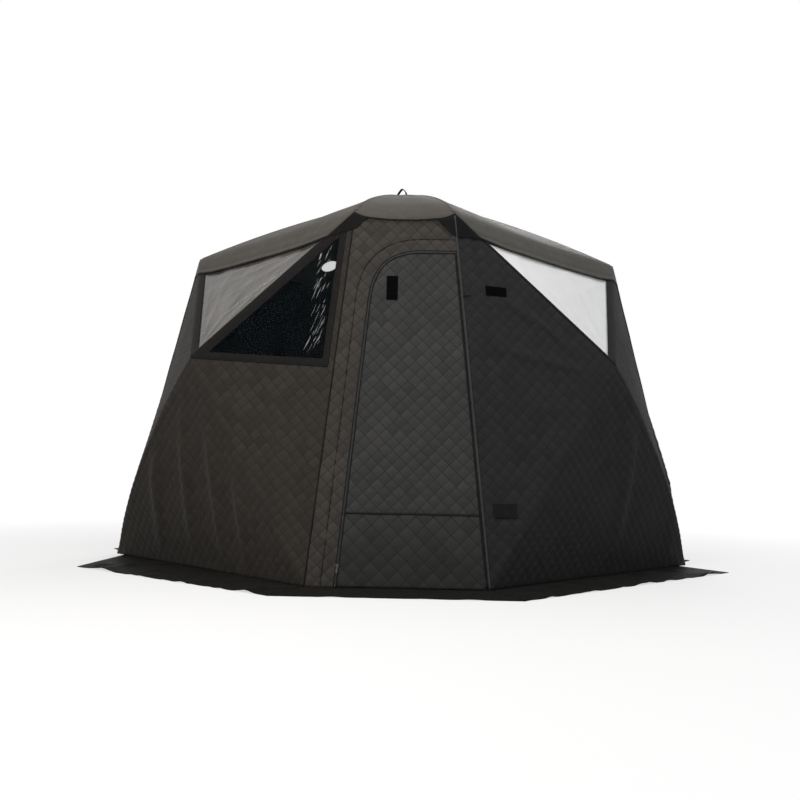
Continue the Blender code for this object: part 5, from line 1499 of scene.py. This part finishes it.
def add_camera():
    yaw, pitch, roll = CAMERA_TURN
    forward = Vector((math.sin(yaw) * math.cos(pitch), math.cos(yaw) * math.cos(pitch), math.sin(pitch)))
    right = Vector((math.cos(yaw), -math.sin(yaw), 0))
    upward = right.cross(forward)
    axes = (right * math.cos(roll) + upward * math.sin(roll), upward * math.cos(roll) - right * math.sin(roll),
            -forward)
    data = bpy.data.cameras.new("camera")
    data.lens, data.clip_end = CAMERA_LENS, 100
    turn = Matrix(axes).transposed().to_4x4()
    bpy.context.scene.camera = link("camera", data, Matrix.Translation(CAMERA_PLACE) @ turn)


def add_lamps():
    for name, place, target, size, energy, colour in LAMPS:
        lamp = bpy.data.lights.new(name, "AREA")
        lamp.shape, lamp.size, lamp.energy, lamp.color = "DISK", size, energy, colour
        turn = (Vector(place) - Vector(target)).to_track_quat("Z", "Y").to_matrix().to_4x4()
        link(name, lamp, Matrix.Translation(place) @ turn)


def white_for_camera(nodes):
    """1 for what the camera sees directly or in gloss and film."""
    path = nodes.add("ShaderNodeLightPath").outputs
    seen = nodes.maths("MAXIMUM", path["Is Camera Ray"], path["Is Glossy Ray"])
    return nodes.maths("MAXIMUM", seen, path["Is Transmission Ray"])


def add_world():
    world = bpy.data.worlds.new("studio")
    world.use_nodes = True
    nodes = Nodes(world.node_tree)
    background = nodes.tree.nodes["Background"]
    background.inputs["Color"].default_value = (1, 1, 1, 1)
    nodes.feed(background.inputs["Strength"], nodes.spread(white_for_camera(nodes), 0, 1, 0.20, 1.0))
    bpy.context.scene.world = world


def add_floor():
    """Pale floor that runs into the white background away from the tent and keeps its shadow near it."""
    mesh = bpy.data.meshes.new("floor")
    angles = 2 * math.pi * np.arange(FLOOR_SIDES) / FLOOR_SIDES
    ring = np.column_stack([FLOOR_REACH * np.cos(angles), FLOOR_REACH * np.sin(angles), angles * 0 - 0.0005])
    mesh.from_pydata(ring.tolist(), [], [list(range(FLOOR_SIDES))])
    finish = Finish("floor", 0.9, Specular_IOR_Level=0.0)
    seen = white_for_camera(finish)
    finish.feed(finish.shader.inputs["Base Color"], finish.colours(seen, (0.30, 0.30, 0.30), (0.90, 0.90, 0.90)))
    away = finish.add("ShaderNodeVectorMath", finish.place, operation="LENGTH").outputs["Value"]
    fade = finish.maths("ADD", finish.spread(away, 1.25, 1.60, 0.0, 0.60), finish.spread(away, 1.60, 4.5, 0.0, 0.40))
    glow = finish.add("ShaderNodeEmission")
    blend = finish.add("ShaderNodeMixShader", finish.maths("MULTIPLY", fade, seen), finish.shader.outputs[0],
                       glow.outputs[0])
    finish.feed(finish.tree.nodes["Material Output"].inputs["Surface"], blend.outputs[0])
    mesh.materials.append(finish.material)
    link("floor", mesh)


for add in (add_walls, add_windows, add_corner_seams, add_hinge_tape, add_tie, add_roof, add_door, add_zip,
            add_strip_seam, add_pads, add_pull_loop, add_ground_flaps, finish_cad_nodes, add_camera, add_floor,
            add_world, add_lamps):
    add()
bpy.context.scene.view_settings.view_transform = "Standard"
